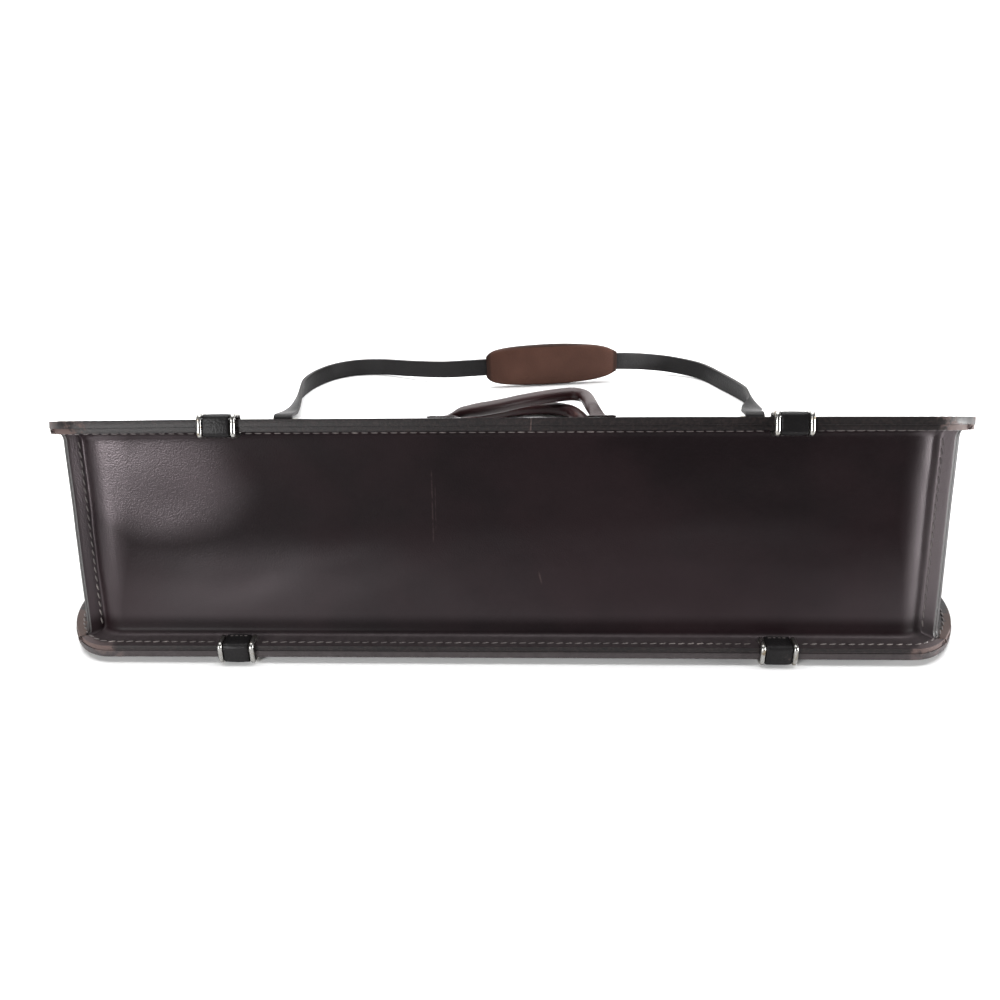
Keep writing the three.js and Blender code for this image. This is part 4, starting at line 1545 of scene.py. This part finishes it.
@dataclass
class Handle:
    """A rolled handle with a flat tongue at each end."""

    shell: Shell
    carry: CarrySizes
    frame: PanelFrame
    name: str
    grip: Sequence[GripPoint]
    tongue_thickness: float

    def sections(self) -> list[Section]:
        """The handle's own sections, from foot to foot.

        Returns:
            The sections.
        """
        z, c = self.shell.sizes, self.carry
        mouth = max(self.frame.at(0, z.panel_height, k).y for k in (0, z.panel_thickness))
        depth = -z.gap - self.tongue_thickness / 2

        def tongue(side: int) -> list[Section]:
            """The flat sections of a tongue, from its end towards the grip."""
            found = []
            for down in (c.tongue_length + 4, c.tongue_length * 0.6, 10, -2):
                x = c.handle_middle + side * c.handle_span / 2
                wide = c.tongue_width if down > 9 else c.tongue_width * 0.62
                place = self.frame.at(x, z.panel_height - down, depth)
                found.append(Section(place, wide, self.tongue_thickness, 0))
            return found

        free = []
        for i, point in enumerate(self.grip):
            end = i in (0, len(self.grip) - 1)
            place = Vector((
                c.handle_middle + point.across * c.handle_span / 2,
                mouth + point.out * c.handle_reach,
                point.rise * c.grip,
            ))
            free.append(Section(place, c.grip, c.grip * (0.8 if end else 1), 0.8 if end else 1))
        return [*tongue(-1), *free, *reversed(tongue(1))]

    def rings(self) -> Grid:
        """Rings of points round the handle.

        Returns:
            A closed row of points for each place along the handle.
        """
        sections = self.sections()
        places = [section.place for section in sections]
        lines = []
        for i, (a, b) in enumerate(zip(sections, sections[1:])):
            flat = a.round == 0 and b.round == 0
            for t in spread(0, 1, 6)[:-1]:
                place = a.place.lerp(b.place, t) if flat else spline(places, i + t)
                ease = t if flat else t * t * (3 - 2 * t)
                lines.append(Section(
                    place, a.wide + (b.wide - a.wide) * ease, a.thick + (b.thick - a.thick) * ease,
                    a.round + (b.round - a.round) * ease,
                ))
        lines.append(sections[-1])
        normal = -self.frame.inward
        rings = []
        for i, line in enumerate(lines):
            before, after = lines[max(i - 1, 0)], lines[min(i + 1, len(lines) - 1)]
            along = (after.place - before.place).normalized()
            over = along.cross(normal).normalized()
            up = over.cross(along).normalized()
            ring = []
            for j, (x, y) in enumerate(FLAT_SECTION):
                nx, ny = FLAT_SECTION[(j + 1) % len(FLAT_SECTION)]
                for part in (0.0, 0.5):
                    angle = (j + part) * math.pi / 6
                    flat = Vector((x + (nx - x) * part, y + (ny - y) * part))
                    spot = flat.lerp(Vector((math.cos(angle), math.sin(angle))), line.round)
                    ring.append(line.place + over * (spot.x * line.wide / 2) + up * (spot.y * line.thick / 2))
            rings.append(ring)
        return rings

    def seam_rows(self) -> list[tuple[Vector, Vector, Vector]]:
        """Start, end and normal of the rows of stitches along the tongues' edges.

        Returns:
            The three vectors for each row.
        """
        z, c = self.shell.sizes, self.carry
        half = c.tongue_width / 2 - 2.0
        top, end = z.panel_height - 12, z.panel_height - c.tongue_length - 1.6
        depth = -z.gap - self.tongue_thickness
        rows = []
        for side in (-1, 1):
            x = c.handle_middle + side * c.handle_span / 2
            near, far = (self.frame.at(x - half, s, depth) for s in (end, top))
            other_near, other_far = (self.frame.at(x + half, s, depth) for s in (end, top))
            for start, stop in ((near, far), (near, other_near), (other_near, other_far)):
                rows.append((start, stop, -self.frame.inward))
        return rows

    def build(self, shop: Workshop, looks: Finishes) -> None:
        """Makes the handle.

        Args:
            shop: the workshop.
            looks: the finishes.
        """
        rings = self.rings()
        count = len(rings)

        def paint(row: int, _column: int, point: Vector) -> tuple[float, float]:
            """Cloudy wear, and darker tongues."""
            share = row / count
            foot = 0.4 if abs(share - 0.5) > 0.36 else 0.0
            return 0.12 + 0.25 * abs(noise.noise(point * 0.06)), foot

        bm = shop.skin(rings, wrap_columns=True, caps=True, paint=paint)
        shop.piece(f"{self.name}_leather", bm, [looks.handle], Slot.HANDLE, [self.name])


# Strap and pad


@dataclass(frozen=True)
class RoutePoint:
    """A point of the strap's route, as shares of the tabs' place, the strap's reach and its width.

    The turn tips the strap from standing on its edge, in degrees.
    """

    across: float
    out: float
    rise: float
    turn: float = 0.0


ROUTE_LEFT = tuple(RoutePoint(*row) for row in (
    (-1.0, 0.2177, 0.708, 84), (-1.006, 0.3605, 0.585, 52), (-1.018, 0.5238, 0.523, 22),
    (-1.018, 0.6735, 0.515, 6), (-0.985, 0.8095, 0.508), (-0.921, 0.9218, 0.508),
    (-0.818, 0.9932, 0.508), (-0.691, 0.9966, 0.538), (-0.539, 0.9286, 0.662),
    (-0.364, 0.8333, 0.923), (-0.242, 0.7789, 1.185),
))
ROUTE_RIGHT = tuple(RoutePoint(*row) for row in (
    (0.533, 0.8946, 1.169), (0.630, 0.9456, 0.923), (0.745, 0.966, 0.677), (0.873, 0.8912, 0.538),
    (0.958, 0.7075, 0.508, 2), (1.030, 0.483, 0.523, 12), (1.042, 0.34, 0.585, 50),
    (1.003, 0.2177, 0.708, 84),
))
# Place along the pad, height and thickness, as shares of the half length, width and thickness.
PAD_TABLE = (
    (-1.0, 0.49, 0.68), (-0.975, 0.6, 0.78), (-0.93, 0.71, 0.85), (-0.86, 0.8, 0.91), (-0.73, 0.885, 0.96),
    (-0.55, 0.945, 0.99), (-0.2, 0.99, 1.0), (0.15, 0.985, 1.0), (0.42, 0.93, 0.98), (0.68, 0.84, 0.93),
    (0.85, 0.71, 0.86), (0.94, 0.58, 0.78), (1.0, 0.47, 0.68),
)


@dataclass
class ShoulderStrap:
    """The strap that stands on its edge, and the pad on it."""

    shell: Shell
    carry: CarrySizes
    mouth: MouthFittings

    @property
    def axis(self) -> Vector:
        """The pad's own direction."""
        t = math.radians(self.carry.pad_turn)
        return Vector((math.cos(t), math.sin(t), 0))

    @property
    def middle(self) -> Vector:
        """The pad's middle."""
        c = self.carry
        return Vector((c.pad_x, self.shell.sizes.panel_height + c.pad_out, c.pad_width / 2))

    def route(self) -> list[tuple[Vector, float]]:
        """Points of the strap's middle with its turn, from ring to ring.

        Returns:
            Each point with its turn in radians.
        """
        z, c = self.shell.sizes, self.carry

        def placed(point: RoutePoint) -> tuple[Vector, float]:
            """A route point's place and turn."""
            place = Vector((
                point.across * self.mouth.tab_place,
                z.panel_height + point.out * c.strap_reach,
                point.rise * c.strap_width,
            ))
            return place, math.radians(point.turn)

        def end(side: int) -> list[tuple[Vector, float]]:
            """The strap's loop round a ring's far bar."""
            far = self.mouth.bar(side) + Vector((0, c.ring_depth, 0))
            radius = c.ring_wire / 2 + z.gap + c.strap_thickness / 2
            found = []
            for degrees in (-90, -130, -180, -230, -270):
                t = math.radians(degrees)
                found.append((far + Vector((0, radius * math.cos(t), radius * math.sin(t))), math.pi / 2))
            return found

        half = self.axis * (c.pad_length / 2)
        pad = [(self.middle - half, 0.0), (self.middle + half, 0.0)]
        left, right = [placed(p) for p in ROUTE_LEFT], [placed(p) for p in ROUTE_RIGHT]
        return [*end(-1), *left, *pad, *right, *reversed(end(1))]

    def strap_grid(self) -> Grid:
        """Points in the middle of the strap's leather.

        Returns:
            Rows of points across the strap.
        """
        route = self.route()
        places = [place for place, _ in route]
        spots = []
        for i, ((a, turn_a), (b, turn_b)) in enumerate(zip(route, route[1:])):
            straight = (b - a).length > 100
            steps = 16 if straight else 7
            for t in spread(0, 1, steps)[:-1]:
                place = a.lerp(b, t) if straight else spline(places, i + t)
                spots.append((place, turn_a + (turn_b - turn_a) * t))
        spots.append(route[-1])
        grid = []
        before = Vector((-1, 0, 0))
        for i, (place, turn) in enumerate(spots):
            along = (spots[min(i + 1, len(spots) - 1)][0] - spots[max(i - 1, 0)][0]).normalized()
            level = Vector((along.y, -along.x, 0))
            if level.length < 0.35:
                level = before.copy()
            if level.dot(before) < 0:
                level.negate()
            level.normalize()
            before = level
            upright = -along.cross(level).normalized()
            wide = (upright * math.cos(turn) + level * math.sin(turn)).normalized()
            half = self.carry.strap_width / 2
            grid.append([place + wide * share * half for share in spread(-1, 1, 6)])
        return grid

    def pad_rings(self) -> Grid:
        """Rings round the pad and back through its slot.

        Returns:
            Closed rows of points, the last of which meets the first.
        """
        c, gap = self.carry, self.shell.sizes.gap
        high = tuple((row[0], row[1]) for row in PAD_TABLE)
        thick = tuple((row[0], row[2]) for row in PAD_TABLE)
        up = Vector((0, 0, 1))
        over = -self.axis.cross(up)
        turns = circle(40)

        def ring(along: float, tall: float, wide: float, power: float) -> list[Vector]:
            """A rounded section at a share of the pad's half length."""
            place = self.middle + self.axis * (along * c.pad_length / 2)
            found = []
            for t in turns:
                rise = math.copysign(abs(math.sin(t)) ** power, math.sin(t)) * tall / 2
                out = math.copysign(abs(math.cos(t)) ** power, math.cos(t)) * wide / 2
                found.append(place + up * rise + over * out)
            return found

        outer = [
            ring(a, interpolate(high, a) * c.pad_width, interpolate(thick, a) * c.pad_thickness, 0.62)
            for a in [-1, -0.992, -0.975, -0.95, *spread(-0.91, 0.93, 46), 0.96, 0.985, 1]
        ]
        slot_high, slot_wide = c.strap_width + 2 * gap, c.strap_thickness + 2 * gap
        slot = [ring(a, slot_high, slot_wide, 0.3) for a in (0.99, 0.9, 0.0, -0.9, -0.99)]
        return [*outer, *slot]

    def build(self, shop: Workshop, looks: Finishes) -> None:
        """Makes the strap and the pad.

        Args:
            shop: the workshop.
            looks: the finishes.
        """
        c = self.carry
        bm = shop.skin(self.strap_grid())
        shop.piece(
            "strap_leather", bm, [looks.strap, looks.strap_cut], Slot.STRAP, ["strap"], c.strap_thickness, 0.6
        )

        def paint(_row: int, _column: int, point: Vector) -> tuple[float, float]:
            """Wear along the long edges, and darkness at the pad's border."""
            offset = point - self.middle
            along = abs(offset.dot(self.axis)) / (c.pad_length / 2)
            rise = abs(offset.z) / (c.pad_width / 2)
            edge = max(smooth(along, 0.9, 0.97), smooth(rise, 0.82, 0.97))
            return 0.22 * smooth(rise, 0.5, 0.9), edge

        bm = shop.skin(self.pad_rings(), wrap_rows=True, wrap_columns=True, paint=paint)
        pad = shop.piece("shoulder_pad_leather", bm, [looks.pad], Slot.PAD, ["shoulder_pad"])


# Stitching


@dataclass
class Stitching:
    """Thread along the panels, the corner seams, the sleeves and the tongues.

    The pitch, the stitches' length and the thread's thickness are millimetres, the slant is degrees.
    """

    shell: Shell
    pitch: float = 4.1
    length: float = 3.3
    thread: float = 0.85
    slant: float = 12.0
    rim_inset: float = 4.0
    clear_across: float = 10.5
    clear_up: float = 18.0

    def sew(
        self, shop: Workshop, looks: Finishes, name: str, spots: Iterable[tuple[Vector, Vector, Vector]]
    ) -> None:
        """Makes a piece of stitches.

        Args:
            shop: the workshop.
            looks: the finishes.
            name: the piece's name.
            spots: each stitch's place, direction and normal.
        """
        bm = bmesh.new()
        wear = bm.verts.layers.float.new(PAINT.WEAR)
        t = math.radians(self.slant)
        half = Vector((self.thread * 0.5, self.thread * 0.35, self.length * 0.5)) * MM
        for place, along, normal in spots:
            side = normal.cross(along).normalized()
            long = (along * math.cos(t) + side * math.sin(t)).normalized()
            turn = Matrix((normal.cross(long).normalized(), normal, long)).transposed().to_4x4()
            spot = Matrix.Translation(shop.metres(place + normal * 0.07))
            bmesh.ops.create_uvsphere(
                bm, u_segments=6, v_segments=5, radius=1.0, matrix=spot @ turn @ Matrix.Diagonal((*half, 1.0))
            )
        for vert in bm.verts:
            vert[wear] = 0.35
        bmesh.ops.recalc_face_normals(bm, faces=bm.faces)
        shop.piece(name, bm, [looks.thread], Slot.CASE)

    def outline(self, inset: float) -> list[Vector]:
        """A panel's outline at an inset, as (x, s) points from mouth to mouth.

        Args:
            inset: from the rim.

        Returns:
            The points.
        """
        z = self.shell.sizes
        corner = self.shell.bottom_corner(inset)
        right = [*corner, Vector((z.panel_width / 2 - inset, z.panel_height - 12))]
        left = [Vector((-p.x, p.y)) for p in reversed(right)]
        return [*left, *right]

    def seams(self, shop: Workshop, looks: Finishes, gusset: Gusset) -> None:
        """Makes the stitches through the pinched seams at the bottom corners.

        Args:
            shop: the workshop.
            looks: the finishes.
            gusset: the bottom gusset, for its corners.
        """
        z = self.shell.sizes
        over = MITRE_OVER
        offset = (z.gusset_thickness + z.gap) / 2
        spots = []
        for side in (-1, 1):
            for strip in (-1, 1):
                spot = gusset.centre + over * strip * offset + MITRE_OUT * (z.gusset_corner + 2.6)
                normal = Vector((side * over.x * strip, over.y * strip, 0))
                height = self.shell.distance(spot.y)
                for rise in spread(6, height - 6, round((height - 12) / self.pitch)):
                    place = self.shell.between(side * spot.x, spot.y, rise)
                    along = (self.shell.between(side * spot.x, spot.y, rise + 1) - place).normalized()
                    spots.append((place + normal * (z.gusset_thickness / 2), along, normal))
        self.sew(shop, looks, "seam_stitches", spots)

    def build(self, shop: Workshop, looks: Finishes, fittings: FittingSizes) -> None:
        """Makes the stitches of both panels, a piece for each, which leave room for the sleeves.

        Args:
            shop: the workshop.
            looks: the finishes.
            fittings: the sleeves' sizes.
        """
        z = self.shell.sizes
        for name, frame in (("back", self.shell.back), ("front", self.shell.front)):
            spots = []
            for k, away in ((z.stack, frame.inward), (0.0, -frame.inward)):
                line = [frame.at(p.x, p.y, k) for p in self.outline(self.rim_inset)]
                sunk = 0.0 if k > 0 else 0.22
                for place, along in resample(line, self.pitch):
                    s = (place - frame.origin).dot(frame.up)
                    if abs(abs(place.x) - fittings.place) < self.clear_across and s < self.clear_up:
                        continue
                    spots.append((place - away * sunk, along, away))
            self.sew(shop, looks, f"{name}_stitches", spots)

    def rows(
        self, shop: Workshop, looks: Finishes, name: str, rows: Iterable[tuple[Vector, Vector, Vector]]
    ) -> None:
        """Makes straight rows of stitches.

        Args:
            shop: the workshop.
            looks: the finishes.
            name: the piece's name.
            rows: each row's start, end and normal.
        """
        spots = []
        for start, end, normal in rows:
            spots += [(place, along, normal) for place, along in resample([start, end], self.pitch)]
        self.sew(shop, looks, name, spots)


# Studio


SENSOR = 36


@dataclass(frozen=True)
class CameraFit:
    """The photo's camera, in the case's millimetres and degrees, with its focal length in image widths."""

    place: tuple[float, float, float] = (14.535, -353.942, 248.22)
    yaw: float = 2.474
    pitch: float = 25.388
    roll: float = -1.154
    focal: float = 0.964592

    def matrix(self, shop: Workshop) -> Matrix:
        """The camera's matrix in the frame.

        Args:
            shop: the workshop.

        Returns:
            The matrix.
        """
        yaw, pitch, roll = (math.radians(v) for v in (self.yaw, self.pitch, self.roll))
        ahead = Vector((-math.sin(yaw) * math.cos(pitch), math.cos(yaw) * math.cos(pitch), -math.sin(pitch)))
        level = Vector((math.cos(yaw), math.sin(yaw), 0))
        above = level.cross(ahead)
        right = level * math.cos(roll) + above * math.sin(roll)
        up = above * math.cos(roll) - level * math.sin(roll)
        turn = Matrix((right, up, -ahead)).transposed().to_4x4()
        return Matrix.Translation(shop.metres(Vector(self.place))) @ turn


@dataclass(frozen=True)
class SoftLight:
    """A rectangular softbox, with its place and target in the frame's metres and its power in watts."""

    name: str
    place: tuple[float, float, float]
    target: tuple[float, float, float]
    size: tuple[float, float]
    power: float


@dataclass
class Studio:
    """Floor, lights, world and camera."""

    camera: CameraFit = field(default_factory=CameraFit)
    lights: tuple[SoftLight, ...] = (
        SoftLight("top", (0.0, 0.35, 1.5), (0, 0.1, 0), (2.2, 1.5), 62),
        SoftLight("front_left", (-0.66, -1.1, 0.3), (-0.13, -0.19, 0.07), (0.3, 0.3), 13.5),
        SoftLight("right", (0.92, -0.31, 0.07), (0.18, -0.19, 0.06), (0.3, 0.12), 12.0),
    )

    def sweep(self) -> bpy.types.Object:
        """The pale floor, which curves up into a backdrop.

        Returns:
            The floor.
        """
        path = [(-0.4, 0.0), (1.2, 0.0)]
        path += [(1.2 + 0.5 * math.sin(t), 0.5 - 0.5 * math.cos(t)) for t in spread(0, math.pi / 2, 12)[1:]]
        path.append((1.7, 2.4))
        rows = len(path) - 1
        bm = bmesh.new()
        bmesh.ops.create_grid(bm, x_segments=1, y_segments=rows, size=0.5)
        for vert in bm.verts:
            y, z = path[round((vert.co.y + 0.5) * rows)]
            vert.co = (math.copysign(3.0, vert.co.x), y, z - 0.0002)
        mesh = bpy.data.meshes.new("studio_sweep")
        bm.to_mesh(mesh)
        bm.free()
        graph = Graph("studio_sweep")
        graph.surface.inputs["Base Color"].default_value = rgba(0.95, 0.95, 0.95)
        graph.surface.inputs["Roughness"].default_value = 0.9
        _, y, _ = graph.axes()
        glow = y.step(0.5, 1.2)
        graph.connect(graph.surface.inputs["Emission Color"], graph.blend(glow, rgba(0, 0, 0), rgba(1, 1, 1)))
        graph.surface.inputs["Emission Strength"].default_value = 0.7
        mesh.materials.append(graph.material)
        for polygon in mesh.polygons:
            polygon.use_smooth = True
        return bpy.data.objects.new("studio_sweep", mesh)

    def build(self, shop: Workshop) -> None:
        """Sets the studio up.

        Args:
            shop: the workshop.
        """
        scene = bpy.context.scene
        floor = self.sweep()
        scene.collection.objects.link(floor)
        world = bpy.data.worlds.new("studio")
        world.use_nodes = True
        background = world.node_tree.nodes["Background"]
        background.inputs["Color"].default_value = rgba(1, 1, 1)
        background.inputs["Strength"].default_value = 0.12
        scene.world = world
        for light in self.lights:
            data = bpy.data.lights.new(light.name, "AREA")
            data.shape = "RECTANGLE"
            data.size, data.size_y = light.size
            data.energy = light.power
            lamp = bpy.data.objects.new(light.name, data)
            lamp.location = light.place
            aim = Vector(light.target) - Vector(light.place)
            lamp.rotation_euler = aim.to_track_quat("-Z", "Y").to_euler()
            scene.collection.objects.link(lamp)
        data = bpy.data.cameras.new("photo_camera")
        data.sensor_fit = "HORIZONTAL"
        data.sensor_width = SENSOR
        data.lens = SENSOR * self.camera.focal
        data.clip_start = 0.01
        camera = bpy.data.objects.new("photo_camera", data)
        camera.matrix_world = self.camera.matrix(shop)
        scene.collection.objects.link(camera)
        scene.camera = camera
        scene.view_settings.view_transform = "Standard"


# The case


@dataclass
class DocumentCase:
    """The whole case."""

    sizes: CaseSizes = field(default_factory=CaseSizes)
    fittings: FittingSizes = field(default_factory=FittingSizes)
    carry: CarrySizes = field(default_factory=CarrySizes)

    def build(self, shop: Workshop, looks: Finishes) -> None:
        """Makes every piece.

        Args:
            shop: the workshop.
            looks: the finishes.
        """
        shell = Shell(self.sizes)
        Panel(shell, shell.back, "back").build(shop, looks)
        Panel(shell, shell.front, "front").build(shop, looks)
        bottom = BottomGusset(shell, "bottom_gusset", BOTTOM_WALL, self.sizes.bottom_sag)
        bottom.build(shop, looks)
        for name, side in (("left", -1), ("right", 1)):
            gusset = SideGusset(shell, f"side_gusset_{name}", SIDE_WALL, self.sizes.side_fold, side=side)
            gusset.build(shop, looks)
        rims = RimFittings(shell, self.fittings)
        rims.build(shop, looks)
        mouth = MouthFittings(shell, self.carry)
        mouth.build(shop, looks)
        carry = self.carry
        front = Handle(shell, carry, shell.front, "front_handle", FRONT_GRIP, carry.front_tongue_thickness)
        back = Handle(shell, carry, shell.back, "back_handle", BACK_GRIP, carry.tongue_thickness)
        for handle in (front, back):
            handle.build(shop, looks)
        ShoulderStrap(shell, self.carry, mouth).build(shop, looks)
        stitching = Stitching(shell)
        stitching.build(shop, looks, self.fittings)
        stitching.seams(shop, looks, bottom)
        fine = Stitching(shell, pitch=2.1, length=1.6, thread=0.6, slant=0.0)
        fine.rows(shop, looks, "sleeve_stitches", rims.seam_rows())
        fine.rows(shop, looks, "tongue_stitches", [*front.seam_rows(), *back.seam_rows()])


def main() -> None:
    """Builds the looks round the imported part."""
    logging.basicConfig(level=logging.INFO, format="%(name)s: %(message)s")
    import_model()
    sizes = CaseSizes()
    low, _ = (Vector(corner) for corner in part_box("back_panel"))
    shift = Vector((0.0, low.y * 1000, low.z * 1000 - sizes.lift))
    shop = Workshop(shift)
    looks = Finishes.make(shift)
    DocumentCase(sizes=sizes).build(shop, looks)
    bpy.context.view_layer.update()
    for piece in shop.pieces:
        LOG.info("%s: %d faces", piece.name, len(piece.data.polygons))
    Studio().build(shop)


if __name__ == "__main__":
    main()
